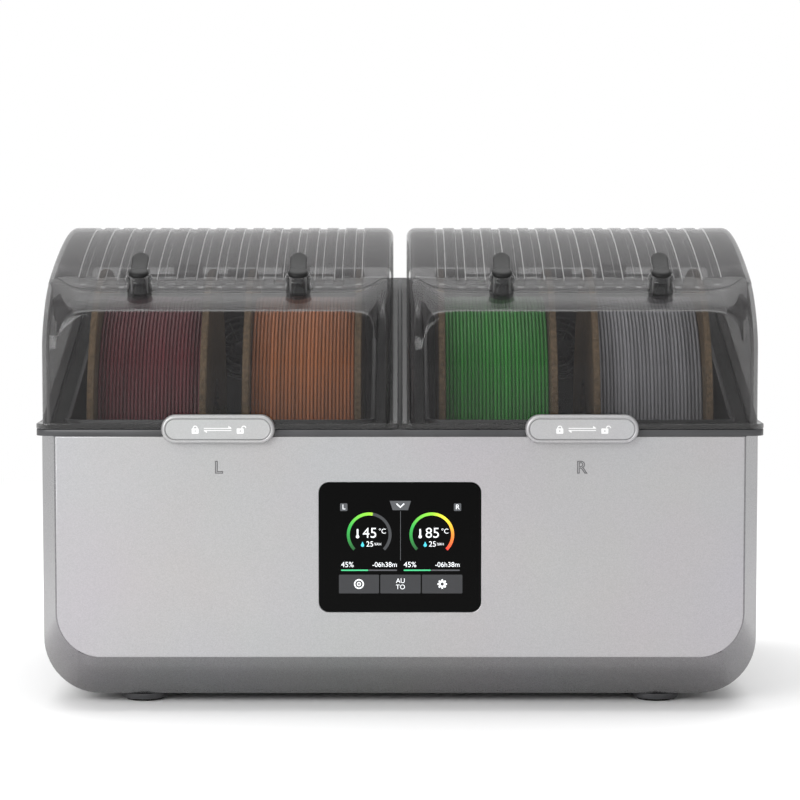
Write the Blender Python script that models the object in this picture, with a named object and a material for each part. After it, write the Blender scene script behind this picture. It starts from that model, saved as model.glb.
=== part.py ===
# Filament dryer box: two heated chambers for two spools each, in one casing.
# Metres, +Z up, front towards -Y, origin on the ground under the middle of the whole box.
# Depths are measured back from the front panel's face; one parent empty turns them into Y.

import bpy
import bmesh
from math import cos, pi, radians, sin
from mathutils import Matrix, Vector

# ---- Driving dimensions ------------------------------------------------------------------

GAP = 0.0003                     # clearance left between neighbouring pieces
FRONT_FACE_Y = -0.137            # the front panel's face in the finished frame

HALF_WIDTH = 0.220               # casing, across its sides
BODY_DEPTH = 0.280
CASING_BOTTOM = 0.0053
CASING_WALL = 0.0025
CASING_CORNER = 0.035            # radius where the side turns into the bottom
CHAMFER_DEPTH = 0.034            # the casing narrows towards the front over this depth
FRONT_HALF_WIDTH = 0.2087
FRONT_BOTTOM = 0.0323
FRONT_CORNER = 0.0282

SEAM_FRONT = 0.1717              # height of the joint between base and lids, at the front
SEAM_BEND = 0.034                # it is level to this depth, then climbs to the back
SEAM_SLOPE = 0.3415
RIM_HEIGHT = 0.0037
RIM_CORNER = 0.008

PANEL_HALF_WIDTH = 0.2075
PANEL_BOTTOM = 0.0335
PANEL_CORNER = 0.027
PANEL_THICKNESS = 0.003

GLASS_SIZE = (0.0974, 0.0784)
GLASS_CORNER = 0.006
GLASS_HEIGHT = 0.1005            # centre above the ground
SCREEN_SIZE = (0.082, 0.063)

TUB_OUTER_HALF = 0.0945          # half of the tub's width
TUB_FRONT = 0.0125
TUB_BACK = 0.2525
TUB_WALL = 0.0025
TUB_FLOOR = 0.0555
TUB_LIP = 0.005                  # the tub's edge stands this far above the seam
TUB_CORNER = 0.012
CHAMBER_X = 0.110                # centre of a chamber from the middle of the box

SPOOL_PAIR_X = 0.109             # middle of a pair of spools
SPOOL_X = 0.048                  # a spool's centre from the middle of its pair
SPOOL_AXIS = (0.145, 0.165)      # depth and height of the spools' axis
SPOOL_RADIUS = 0.100
SPOOL_WIDTH = 0.074
FLANGE_THICKNESS = 0.0043
SPOOL_BORE = 0.0275
SPOOL_CORE = 0.040
WINDING_RADIUS = 0.082

ROLLER_RADIUS = 0.009
ROLLER_HALF_LENGTH = 0.039
ROLLER_BORE = 0.0034
AXLE_RADIUS = 0.003
ROLLER_ANGLE = radians(35)       # each roller's place under the spool, from straight down

FAN_CENTRE_HEIGHT = 0.2076

COVER_FRONT = 0.2770             # rear cover, front and back faces
COVER_BACK = 0.2795
AIR_SLOTS = 6
AIR_SLOT_PITCH = 0.008
AIR_SLOT_SIZE = (0.003, 0.034)
FAN_SIZE = 0.046
FAN_BORE = 0.0205
FAN_DEPTH = 0.015
FAN_BLADES = 5

LID_X = 0.1104                   # centre of a lid from the middle of the box
LID_HALF = 0.1061                # lid body, between its flanges
LID_FLANGE_HALF = 0.1094
LID_FLANGE_HEIGHT = 0.0033
LID_WALL = 0.0025
LID_FRONT = 0.003
PANE_TOP = 0.2395                # the upright front window ends here
SHOULDER = (0.0250, 0.2545)      # depth and height where the window's curve meets the top
CREST = (0.155, 0.2913)
BACK_SHOULDER = (0.260, 0.267)
LID_BACK_FOOT = 0.258
LID_BACK = 0.2674
LID_EDGE = 0.0055                # bevel along both ends of the lid's top
HINGE_DEPTH = 0.272
HINGE_HEIGHT = 0.258
KNUCKLE_RADIUS = 0.004
KNUCKLE_HALF_LENGTH = 0.010
RIM_KNUCKLES = (-0.075, 0.0, 0.075)
PIN_RADIUS = 0.0015
PIN_BORE = 0.0019

PORT_X = 0.0484                  # an outlet's centre from its lid's centre
PORT_FOOT = (0.027, 0.2565)      # depth and height where the outlet meets the lid
PORT_TILT = radians(25)          # the outlet leans forward by this much
PORT_RADIUS = 0.0073
PORT_BORE = 0.0053
PORT_HEIGHT = 0.009
PLUG_RADIUS = 0.005
PLUG_HEAD_RADIUS = 0.0062
TAB_REACH = 0.0150               # from the plug's axis to the middle of the tab's round end
TAB_RISE = radians(12)

LATCH_X = 0.1093
LATCH_HEIGHT = 0.17245
LATCH_SIZE = (0.0682, 0.0175)
LATCH_FRONT = -0.0057
LATCH_BACK = -0.0003
LATCH_BORDER = 0.0024            # width of the pill's rim around its silver face
LATCH_TRAVEL = 0.007
TONGUE_HALF = 0.005
NOTCH_HALF = 0.006
NOTCH_DEPTH = 0.009
TAB_HALF = 0.008

FOOT_X = 0.159
FOOT_DEPTHS = {"front": 0.048, "rear": 0.235}
FOOT_RADIUS = 0.0145
FOOT_HEIGHT = 0.005

INLET_X = -0.150                 # power inlet and switch, on the rear cover
INLET_HEIGHT = 0.060

SIDES = {"left": -1, "right": 1}


def seam_height(depth):
    """Height of the joint between the base and the lids at one depth."""
    return SEAM_FRONT + max(0.0, depth - SEAM_BEND) * SEAM_SLOPE


# ---- Scene and materials -----------------------------------------------------------------

def clear_scene():
    for scene_object in list(bpy.data.objects):
        bpy.data.objects.remove(scene_object, do_unlink=True)


def make_material(name, colour, roughness, metallic=0.0, alpha=1.0):
    material = bpy.data.materials.new(name)
    material.use_nodes = True
    shader = material.node_tree.nodes["Principled BSDF"]
    shader.inputs["Base Color"].default_value = (*colour, 1.0)
    shader.inputs["Roughness"].default_value = roughness
    shader.inputs["Metallic"].default_value = metallic
    shader.inputs["Alpha"].default_value = alpha
    return material


def make_materials():
    return {
        "panel_silver": make_material("panel_silver", (0.55, 0.54, 0.56), 0.38, 0.7),
        "casing_grey": make_material("casing_grey", (0.23, 0.23, 0.24), 0.40, 0.7),
        "rim_dark": make_material("rim_dark", (0.05, 0.05, 0.052), 0.45),
        "tub_black": make_material("tub_black", (0.012, 0.012, 0.012), 0.5),
        "smoked_clear": make_material("smoked_clear", (0.06, 0.055, 0.05), 0.05, 0.0, 0.35),
        "rubber_black": make_material("rubber_black", (0.015, 0.015, 0.015), 0.75),
        "steel": make_material("steel", (0.55, 0.55, 0.56), 0.25, 1.0),
        "glass_black": make_material("glass_black", (0.004, 0.004, 0.005), 0.04),
        "board_green": make_material("board_green", (0.02, 0.12, 0.05), 0.5),
        "plastic_grey": make_material("plastic_grey", (0.18, 0.18, 0.18), 0.5),
        "card_brown": make_material("card_brown", (0.30, 0.19, 0.11), 0.85),
        "filament_maroon": make_material("filament_maroon", (0.16, 0.02, 0.03), 0.35),
        "filament_orange": make_material("filament_orange", (0.75, 0.30, 0.06), 0.35),
        "filament_green": make_material("filament_green", (0.03, 0.45, 0.06), 0.35),
        "filament_grey": make_material("filament_grey", (0.48, 0.48, 0.50), 0.35),
    }


# ---- Mesh helpers ------------------------------------------------------------------------

def make_object(name, vertices, faces, material, smooth=False):
    """A closed mesh object whose faces all point outwards."""
    mesh = bpy.data.meshes.new(name)
    mesh.from_pydata([tuple(v) for v in vertices], [], faces)
    shape = bmesh.new()
    shape.from_mesh(mesh)
    bmesh.ops.recalc_face_normals(shape, faces=shape.faces)
    shape.to_mesh(mesh)
    shape.free()
    mesh.materials.append(material)
    if smooth:
        mesh.shade_smooth()
        mesh.set_sharp_from_angle(angle=radians(35))
    made = bpy.data.objects.new(name, mesh)
    bpy.context.collection.objects.link(made)
    return made


def arc(centre, radius, start, end, steps):
    """Points along an arc, both ends included; angles in degrees."""
    points = []
    for step in range(steps + 1):
        angle = radians(start + (end - start) * step / steps)
        points.append((centre[0] + radius * cos(angle), centre[1] + radius * sin(angle)))
    return points


def rounded_rectangle(size, radius, centre=(0.0, 0.0), steps=4):
    half_w, half_h = size[0] / 2 - radius, size[1] / 2 - radius
    points = []
    for corner, (sx, sy) in enumerate([(1, 1), (-1, 1), (-1, -1), (1, -1)]):
        middle = (centre[0] + sx * half_w, centre[1] + sy * half_h)
        points += arc(middle, radius, 90 * corner, 90 * corner + 90, steps)
    return points


def prism(name, outline, axis, low, high, material, smooth=False):
    """A flat outline pushed along one axis. The outline's two numbers are the other axes."""
    place = {
        "x": lambda p, t: (t, p[0], p[1]),
        "y": lambda p, t: (p[0], t, p[1]),
        "z": lambda p, t: (p[0], p[1], t),
    }[axis]
    count = len(outline)
    vertices = [place(p, low) for p in outline] + [place(p, high) for p in outline]
    faces = [tuple(range(count)), tuple(range(2 * count - 1, count - 1, -1))]
    for i in range(count):
        j = (i + 1) % count
        faces.append((i, j, count + j, count + i))
    return make_object(name, vertices, faces, material, smooth)


def block(name, low, high, material):
    outline = [(low[0], low[1]), (high[0], low[1]), (high[0], high[1]), (low[0], high[1])]
    return prism(name, outline, "z", low[2], high[2], material)


def turned(name, profile, steps, material):
    """A closed outline of (radius, height) pairs turned about Z, or one that ends on Z."""
    vertices, rings = [], []
    for radius, height in profile:
        if radius < 1e-7:
            rings.append([len(vertices)])
            vertices.append((0.0, 0.0, height))
            continue
        rings.append(list(range(len(vertices), len(vertices) + steps)))
        for step in range(steps):
            angle = 2 * pi * step / steps
            vertices.append((radius * cos(angle), radius * sin(angle), height))
    faces = []
    closed = len(rings[0]) > 1
    pairs = len(rings) if closed else len(rings) - 1
    for i in range(pairs):
        ring, after = rings[i], rings[(i + 1) % len(rings)]
        for step in range(steps):
            following = (step + 1) % steps
            if len(ring) == 1:
                faces.append((ring[0], after[step], after[following]))
            elif len(after) == 1:
                faces.append((ring[step], after[0], ring[following]))
            else:
                faces.append((ring[step], after[step], after[following], ring[following]))
    return make_object(name, vertices, faces, material, smooth=True)


def reshape(piece, matrix):
    """Turns or moves the mesh itself and leaves the object's own place alone."""
    piece.data.transform(matrix)
    return piece


def lay_along_x(piece):
    return reshape(piece, Matrix.Rotation(pi / 2, 4, "Y"))


def lay_along_y(piece):
    return reshape(piece, Matrix.Rotation(pi / 2, 4, "X"))


def combine(target, tools, operation):
    """Applies exact Booleans with each tool in turn and removes the tools."""
    for tool in tools:
        modifier = target.modifiers.new(operation.lower(), "BOOLEAN")
        modifier.operation = operation
        modifier.solver = "EXACT"
        modifier.object = tool
        view = bpy.context.evaluated_depsgraph_get()
        view.update()
        result = bpy.data.meshes.new_from_object(target.evaluated_get(view))
        target.modifiers.clear()
        target.data = result
        bpy.data.objects.remove(tool, do_unlink=True)
    return target


def cut(target, *tools):
    return combine(target, tools, "DIFFERENCE")


def weld_on(target, *tools):
    return combine(target, tools, "UNION")


def copy_of(source, name, material=None):
    """A second object that shares the first one's mesh, or has its own for a new finish."""
    mesh = source.data
    if material is not None:
        mesh = source.data.copy()
        mesh.materials.clear()
        mesh.materials.append(material)
    made = bpy.data.objects.new(name, mesh)
    bpy.context.collection.objects.link(made)
    return made


def bent_plate(name, xs, ys, holes, low, high, material):
    """A plate that follows the seam: cells of a grid, some left open, between two heights."""
    def solid(i, j):
        inside = 0 <= i < len(xs) - 1 and 0 <= j < len(ys) - 1
        return inside and (i, j) not in holes
    shape = bmesh.new()
    corners = {}

    def corner(i, j, level):
        if (i, j, level) not in corners:
            height = seam_height(ys[j]) + (low, high)[level]
            corners[i, j, level] = shape.verts.new((xs[i], ys[j], height))
        return corners[i, j, level]
    for i in range(len(xs) - 1):
        for j in range(len(ys) - 1):
            if not solid(i, j):
                continue
            around = [(i, j), (i + 1, j), (i + 1, j + 1), (i, j + 1)]
            shape.faces.new([corner(*p, 1) for p in around])
            shape.faces.new([corner(*p, 0) for p in reversed(around)])
            neighbours = [(i, j - 1), (i + 1, j), (i, j + 1), (i - 1, j)]
            for side, beyond in enumerate(neighbours):
                if not solid(*beyond):
                    a, b = around[side], around[(side + 1) % 4]
                    shape.faces.new([corner(*a, 0), corner(*b, 0), corner(*b, 1), corner(*a, 1)])
    mesh = bpy.data.meshes.new(name)
    shape.to_mesh(mesh)
    shape.free()
    mesh.materials.append(material)
    made = bpy.data.objects.new(name, mesh)
    bpy.context.collection.objects.link(made)
    return made


def round_upright_edges(piece, places, radius, steps=4):
    """Bevels the upright edges that stand at the given (x, depth) places."""
    shape = bmesh.new()
    shape.from_mesh(piece.data)
    chosen = []
    for edge in shape.edges:
        a, b = (v.co for v in edge.verts)
        upright = (a.xy - b.xy).length < 1e-6
        if upright and any((a.xy - Vector(p)).length < 1e-5 for p in places):
            chosen.append(edge)
    bmesh.ops.bevel(shape, geom=chosen, offset=radius, segments=steps, profile=0.5,
                    affect="EDGES", clamp_overlap=True)
    shape.to_mesh(piece.data)
    shape.free()
    return piece


# ---- Casing ------------------------------------------------------------------------------

def u_section(half_width, bottom, radius, top):
    """Side, rounded corner, bottom, rounded corner, side; open at the top."""
    left = arc((-half_width + radius, bottom + radius), radius, 180, 270, 6)
    right = arc((half_width - radius, bottom + radius), radius, 270, 360, 6)
    return [(-half_width, top)] + left + right + [(half_width, top)]


def make_outer_casing(materials):
    """Sides and bottom in one bent shell that narrows to the front panel's size."""
    stations = [
        (PANEL_THICKNESS + GAP, FRONT_HALF_WIDTH, FRONT_BOTTOM, FRONT_CORNER),
        (CHAMFER_DEPTH, HALF_WIDTH, CASING_BOTTOM, CASING_CORNER),
        (BODY_DEPTH, HALF_WIDTH, CASING_BOTTOM, CASING_CORNER),
    ]
    vertices, faces = [], []
    for depth, half_width, bottom, radius in stations:
        top = seam_height(depth) - RIM_HEIGHT - GAP
        for inset in (0.0, CASING_WALL):
            section = u_section(half_width - inset, bottom + inset, radius - inset, top)
            vertices += [(x, depth, z) for x, z in section]
    count = len(vertices) // (2 * len(stations))

    def index(station, layer, point):
        return (2 * station + layer) * count + point
    for station in range(len(stations) - 1):
        for point in range(count - 1):
            for layer in (0, 1):
                faces.append((index(station, layer, point), index(station, layer, point + 1),
                              index(station + 1, layer, point + 1),
                              index(station + 1, layer, point)))
        for point in (0, count - 1):
            faces.append((index(station, 0, point), index(station, 1, point),
                          index(station + 1, 1, point), index(station + 1, 0, point)))
    for station in (0, len(stations) - 1):
        for point in range(count - 1):
            faces.append((index(station, 0, point), index(station, 0, point + 1),
                          index(station, 1, point + 1), index(station, 1, point)))
    return make_object("outer_casing", vertices, faces, materials["casing_grey"], smooth=True)


def make_front_panel(materials):
    """Front plate with a window for the display and a notch for each latch tongue."""
    top = SEAM_FRONT - RIM_HEIGHT - GAP
    left = arc((-PANEL_HALF_WIDTH + PANEL_CORNER, PANEL_BOTTOM + PANEL_CORNER),
               PANEL_CORNER, 180, 270, 8)
    right = arc((PANEL_HALF_WIDTH - PANEL_CORNER, PANEL_BOTTOM + PANEL_CORNER),
                PANEL_CORNER, 270, 360, 8)
    outline = [(-PANEL_HALF_WIDTH, top)] + left + right + [(PANEL_HALF_WIDTH, top)]
    panel = prism("front_panel", outline, "y", 0.0, PANEL_THICKNESS,
                  materials["panel_silver"])
    hole_size = (GLASS_SIZE[0] + 2 * GAP, GLASS_SIZE[1] + 2 * GAP)
    window = rounded_rectangle(hole_size, GLASS_CORNER + GAP, (0, GLASS_HEIGHT), 5)
    cut(panel, prism("window", window, "y", -0.01, 0.01, materials["panel_silver"]))
    for side in SIDES.values():
        rest = side * LATCH_X
        low = (rest - TONGUE_HALF - LATCH_TRAVEL - 0.001, -0.01, LATCH_HEIGHT - 0.0085)
        high = (rest + NOTCH_HALF, 0.01, top + 0.01)
        cut(panel, block("notch", low, high, materials["panel_silver"]))
    return panel


def make_rear_cover(materials):
    """Back plate with the power opening and two rows of air slots."""
    inset = CASING_WALL + GAP
    top = seam_height(BODY_DEPTH - 0.003) - RIM_HEIGHT - GAP
    outline = u_section(HALF_WIDTH - inset, CASING_BOTTOM + inset, CASING_CORNER - inset, top)
    cover = prism("rear_cover", outline, "y", COVER_FRONT, COVER_BACK, materials["casing_grey"])
    cut(cover, block("power_opening", (INLET_X - 0.0303, 0.27, INLET_HEIGHT - 0.0128),
                     (INLET_X + 0.0303, 0.29, INLET_HEIGHT + 0.0128),
                     materials["casing_grey"]))
    for side in SIDES.values():
        for step in range(AIR_SLOTS):
            x = side * CHAMBER_X + (step - (AIR_SLOTS - 1) / 2) * AIR_SLOT_PITCH
            slot = rounded_rectangle(AIR_SLOT_SIZE, AIR_SLOT_SIZE[0] / 2 - 0.00001,
                                     (x, FAN_CENTRE_HEIGHT), 2)
            cut(cover, prism("slot", slot, "y", 0.27, 0.29, materials["casing_grey"]))
    return cover


def make_rim(materials):
    """Dark frame between base and lids, with an opening for each tub and hinge knuckles."""
    opening_half = TUB_OUTER_HALF + GAP
    half = [CHAMBER_X - opening_half, LATCH_X - NOTCH_HALF, LATCH_X + NOTCH_HALF,
            CHAMBER_X + opening_half, HALF_WIDTH - GAP]
    xs = [-x for x in reversed(half)] + half
    ys = [0.0, NOTCH_DEPTH, TUB_FRONT - GAP, SEAM_BEND, TUB_BACK + GAP, BODY_DEPTH]
    openings = {(i, j) for i in (1, 2, 3, 5, 6, 7) for j in (2, 3)}
    notches = {(2, 0), (6, 0)}
    rim = bent_plate("rim", xs, ys, openings | notches, -RIM_HEIGHT, 0.0,
                     materials["rim_dark"])
    outer_corners = [(xs[0], ys[0]), (xs[-1], ys[0])]
    round_upright_edges(rim, outer_corners, RIM_CORNER)
    opening_corners = [(x, y) for x in (xs[1], xs[4], xs[5], xs[8]) for y in (ys[2], ys[4])]
    round_upright_edges(rim, opening_corners, TUB_CORNER)
    for side in SIDES.values():
        for offset in RIM_KNUCKLES:
            x = side * LID_X + offset
            weld_on(rim, make_knuckle("rim_knuckle", x, "down", materials["rim_dark"]))
    return rim


def make_knuckle(name, x, reach, material):
    """One hinge barrel with the web that joins it to the rim below or the lid in front."""
    half_length = KNUCKLE_HALF_LENGTH
    outline = arc((HINGE_DEPTH, HINGE_HEIGHT), KNUCKLE_RADIUS, 0, 360, 12)[:-1]
    barrel = prism(name, outline, "x", x - half_length, x + half_length, material, True)
    if reach == "down":
        low = (x - half_length, HINGE_DEPTH - 0.003, seam_height(HINGE_DEPTH) - 0.0025)
        high = (x + half_length, HINGE_DEPTH + 0.003, HINGE_HEIGHT)
    else:
        low = (x - half_length, LID_BACK - 0.001, HINGE_HEIGHT - 0.0012)
        high = (x + half_length, HINGE_DEPTH, HINGE_HEIGHT + 0.0032)
    weld_on(barrel, block("web", low, high, material))
    bore = arc((HINGE_DEPTH, HINGE_HEIGHT), PIN_BORE, 0, 360, 8)[:-1]
    return cut(barrel, prism("bore", bore, "x", x - 0.05, x + 0.05, material))


def make_feet(materials):
    profile = [(0.0, 0.0), (0.0118, 0.0), (0.0118, 0.0012), (0.0135, 0.0012),
               (FOOT_RADIUS, 0.0022), (FOOT_RADIUS, FOOT_HEIGHT), (0.0, FOOT_HEIGHT)]
    first = turned("foot_front_left", profile, 20, materials["rubber_black"])
    feet = []
    for end, depth in FOOT_DEPTHS.items():
        for side_name, side in SIDES.items():
            is_first = end == "front" and side_name == "left"
            foot = first if is_first else copy_of(first, f"foot_{end}_{side_name}")
            foot.location = (side * FOOT_X, depth, 0.0)
            feet.append(foot)
    return feet


# ---- Chambers ----------------------------------------------------------------------------

def tub_outline(inset):
    """Rounded rectangle in plan, with extra points where the seam bends."""
    half = TUB_OUTER_HALF - inset
    front, back = TUB_FRONT + inset, TUB_BACK - inset
    radius = TUB_CORNER - inset
    bend = [(half, SEAM_BEND), (-half, SEAM_BEND)]
    points = [bend[0]]
    points += arc((half - radius, back - radius), radius, 0, 90, 4)
    points += arc((-half + radius, back - radius), radius, 90, 180, 4)
    points += [bend[1]]
    points += arc((-half + radius, front + radius), radius, 180, 270, 4)
    points += arc((half - radius, front + radius), radius, 270, 360, 4)
    return points


def make_tub(name, centre_x, materials):
    """Black inner chamber: open on top, with axle holes and a fan grille in the back."""
    outer, inner = tub_outline(0.0), tub_outline(TUB_WALL)
    count = len(outer)
    rings = [
        [(x, y, TUB_FLOOR) for x, y in outer],
        [(x, y, seam_height(y) + TUB_LIP) for x, y in outer],
        [(x, y, seam_height(y) + TUB_LIP) for x, y in inner],
        [(x, y, TUB_FLOOR + TUB_WALL) for x, y in inner],
    ]
    vertices = [(centre_x + x, y, z) for ring in rings for x, y, z in ring]
    faces = [tuple(range(count)), tuple(range(3 * count, 4 * count))]
    for ring in range(3):
        for i in range(count):
            j = (i + 1) % count
            faces.append((ring * count + i, ring * count + j,
                          (ring + 1) * count + j, (ring + 1) * count + i))
    tub = make_object(name, vertices, faces, materials["tub_black"])
    for depth, height in roller_places():
        hole = arc((depth, height), AXLE_RADIUS + GAP, 0, 360, 12)[:-1]
        cut(tub, prism("axle_hole", hole, "x", centre_x - 0.12, centre_x + 0.12,
                       materials["tub_black"]))
    for inner_radius, outer_radius in ((0.005, 0.0118), (0.0138, 0.0200)):
        for sector in range(6):
            start = 60 * sector + 5
            outline = arc((centre_x, FAN_CENTRE_HEIGHT), outer_radius, start, start + 50, 4)
            outline += arc((centre_x, FAN_CENTRE_HEIGHT), inner_radius, start + 50, start, 4)
            cut(tub, prism("air_slot", outline, "y", 0.245, 0.26, materials["tub_black"]))
    return tub


def roller_places():
    """Depth and height of the two roller axes under a spool."""
    reach = SPOOL_RADIUS + ROLLER_RADIUS + GAP
    return [(SPOOL_AXIS[0] + side * reach * sin(ROLLER_ANGLE),
             SPOOL_AXIS[1] - reach * cos(ROLLER_ANGLE)) for side in (-1, 1)]


def spool_centres():
    """Name, chamber side and x of the four spools, from left to right."""
    centres = []
    for side_name, side in SIDES.items():
        for place, offset in (("outer", side * SPOOL_X), ("inner", -side * SPOOL_X)):
            centres.append((f"{side_name}_{place}", side, side * SPOOL_PAIR_X + offset))
    return centres


def make_axles_and_rollers(materials):
    pieces = []
    bar = [(0.0, -0.0935), (AXLE_RADIUS, -0.0935), (AXLE_RADIUS, 0.0935), (0.0, 0.0935)]
    tube = [(ROLLER_BORE, -ROLLER_HALF_LENGTH), (ROLLER_RADIUS - 0.001, -ROLLER_HALF_LENGTH),
            (ROLLER_RADIUS, -ROLLER_HALF_LENGTH + 0.001),
            (ROLLER_RADIUS, ROLLER_HALF_LENGTH - 0.001),
            (ROLLER_RADIUS - 0.001, ROLLER_HALF_LENGTH), (ROLLER_BORE, ROLLER_HALF_LENGTH)]
    axle_shape = lay_along_x(turned("axle_shape", bar, 12, materials["steel"]))
    roller_shape = lay_along_x(turned("roller_shape", tube, 16, materials["rubber_black"]))
    for row, (depth, height) in zip(("front", "rear"), roller_places()):
        for side_name, side in SIDES.items():
            axle = copy_of(axle_shape, f"roller_axle_{side_name}_{row}")
            axle.location = (side * CHAMBER_X, depth, height)
            pieces.append(axle)
        for spool_name, _, x in spool_centres():
            roller = copy_of(roller_shape, f"roller_{spool_name}_{row}")
            roller.location = (x, depth, height)
            pieces.append(roller)
    bpy.data.objects.remove(axle_shape, do_unlink=True)
    bpy.data.objects.remove(roller_shape, do_unlink=True)
    return pieces


def make_spools(materials):
    """Four standard one-kilogram spools: a reel with two flanges, and its winding."""
    half, inside = SPOOL_WIDTH / 2, SPOOL_WIDTH / 2 - FLANGE_THICKNESS
    reel = [(SPOOL_BORE, -half), (SPOOL_RADIUS, -half), (SPOOL_RADIUS, -inside),
            (SPOOL_CORE, -inside), (SPOOL_CORE, inside), (SPOOL_RADIUS, inside),
            (SPOOL_RADIUS, half), (SPOOL_BORE, half)]
    reach = inside - GAP
    winding = [(SPOOL_CORE + GAP, -reach), (WINDING_RADIUS, -reach),
               (WINDING_RADIUS, reach), (SPOOL_CORE + GAP, reach)]
    reel_shape = lay_along_x(turned("reel_shape", reel, 36, materials["card_brown"]))
    winding_shape = lay_along_x(turned("winding_shape", winding, 36, materials["card_brown"]))
    finishes = ("filament_maroon", "filament_orange", "filament_green", "filament_grey")
    pieces = []
    places = sorted(spool_centres(), key=lambda spool: spool[2])
    for (spool_name, _, x), finish in zip(places, finishes):
        reel = copy_of(reel_shape, f"reel_{spool_name}")
        wound = copy_of(winding_shape, f"winding_{spool_name}", materials[finish])
        for piece in (reel, wound):
            piece.location = (x, *SPOOL_AXIS)
            pieces.append(piece)
    bpy.data.objects.remove(reel_shape, do_unlink=True)
    bpy.data.objects.remove(winding_shape, do_unlink=True)
    return pieces


def make_fan(side_name, side, materials):
    """Square fan housing with a bar to hold the motor, and the bladed rotor inside it."""
    x, depth = side * CHAMBER_X, TUB_BACK + 0.0005
    frame = rounded_rectangle((FAN_SIZE, FAN_SIZE), 0.003, (x, FAN_CENTRE_HEIGHT), 2)
    housing = prism(f"fan_housing_{side_name}", frame, "y", depth, depth + FAN_DEPTH,
                    materials["plastic_grey"])
    bore = arc((x, FAN_CENTRE_HEIGHT), FAN_BORE, 0, 360, 28)[:-1]
    cut(housing, prism("fan_bore", bore, "y", depth - 0.01, depth + 0.03,
                       materials["plastic_grey"]))
    for low, high in (((-0.0225, -0.002), (0.0225, 0.002)), ((-0.002, -0.0225), (0.002, 0.0225))):
        bar = block("motor_bar", (x + low[0], depth + 0.0125, FAN_CENTRE_HEIGHT + low[1]),
                    (x + high[0], depth + FAN_DEPTH - 0.0004, FAN_CENTRE_HEIGHT + high[1]),
                    materials["plastic_grey"])
        weld_on(housing, bar)
    hub = turned(f"fan_rotor_{side_name}",
                 [(0.0, -0.005), (0.0085, -0.005), (0.0095, -0.004), (0.0095, 0.005),
                  (0.0, 0.005)], 20, materials["plastic_grey"])
    for blade_number in range(FAN_BLADES):
        blade = block("blade", (0.006, -0.0006, -0.0055), (0.0194, 0.0006, 0.0055),
                      materials["plastic_grey"])
        turn = Matrix.Rotation(2 * pi * blade_number / FAN_BLADES, 4, "Z")
        reshape(blade, turn @ Matrix.Rotation(radians(38), 4, "X"))
        weld_on(hub, blade)
    lay_along_y(hub)
    hub.location = (x, depth + 0.0068, FAN_CENTRE_HEIGHT)
    return [housing, hub]


def make_heater(side_name, side, materials):
    """Finned heating block under the chamber floor."""
    x = side * CHAMBER_X
    top = TUB_FLOOR - GAP
    heater = block(f"heater_{side_name}", (x - 0.045, 0.150, top - 0.004),
                   (x + 0.045, 0.215, top), materials["steel"])
    for fin in range(8):
        left = x - 0.042 + fin * 0.0115
        weld_on(heater, block("fin", (left, 0.152, top - 0.020), (left + 0.0015, 0.213, top - 0.002),
                              materials["steel"]))
    return heater


# ---- Lids --------------------------------------------------------------------------------

def bezier(a, b, c, d, steps):
    points = []
    for step in range(steps + 1):
        t = step / steps
        s = 1 - t
        points.append(tuple(s**3 * p + 3 * s * s * t * q + 3 * s * t * t * r + t**3 * u
                            for p, q, r, u in zip(a, b, c, d)))
    return points


def lid_crown():
    """Depth and height along the lid's outside, from the front pane over to the back."""
    front = bezier((LID_FRONT, PANE_TOP), (LID_FRONT, PANE_TOP + 0.0075),
                   (SHOULDER[0] - 0.0078, SHOULDER[1] - 0.0045), SHOULDER, 4)
    climb = bezier(SHOULDER, (0.055, 0.271), (0.125, CREST[1]), CREST, 7)
    fall = bezier(CREST, (0.192, CREST[1]), (0.232, 0.281), BACK_SHOULDER, 6)
    back = bezier(BACK_SHOULDER, (0.2645, 0.2647), (LID_BACK, LID_BACK_FOOT + 0.004),
                  (LID_BACK, LID_BACK_FOOT), 2)
    return front + climb[1:] + fall[1:] + back[1:]


def inset_line(points, distance):
    """The same open line moved to its right-hand side by a distance."""
    moved = []
    for i, point in enumerate(points):
        before = Vector(points[max(i - 1, 0)])
        after = Vector(points[min(i + 1, len(points) - 1)])
        along = (after - before).normalized()
        moved.append((point[0] + along.y * distance, point[1] - along.x * distance))
    return moved


def round_ends(piece, half_length, lowest, radius):
    """Bevels the edges around both ends of a prism along X, except those at its foot."""
    shape = bmesh.new()
    shape.from_mesh(piece.data)
    chosen = []
    for edge in shape.edges:
        a, b = (v.co for v in edge.verts)
        on_end = abs(abs(a.x) - half_length) < 1e-6 and abs(a.x - b.x) < 1e-6
        at_foot = a.z < lowest(a.y) and b.z < lowest(b.y)
        if on_end and not at_foot:
            chosen.append(edge)
    bmesh.ops.bevel(shape, geom=chosen, offset=radius, segments=2, profile=0.5,
                    affect="EDGES", clamp_overlap=True)
    shape.to_mesh(piece.data)
    shape.free()
    return piece


def lid_solid(name, half_width, line, foot, edge, material):
    """Prism under a crown line whose foot follows the seam at a chosen distance."""
    outline = [(line[0][0], seam_height(line[0][0]) + foot)] + line
    outline += [(line[-1][0], seam_height(line[-1][0]) + foot),
                (SEAM_BEND, SEAM_FRONT + foot)]
    solid = prism(name, outline, "x", -half_width, half_width, material, smooth=True)
    return round_ends(solid, half_width, lambda y: seam_height(y) + foot + 0.002, edge)


def tilted(piece, x):
    """Stands a piece, made along Z, on an outlet's axis."""
    turn = Matrix.Rotation(PORT_TILT, 4, "X")
    return reshape(piece, Matrix.Translation((x, *PORT_FOOT)) @ turn)


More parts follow.
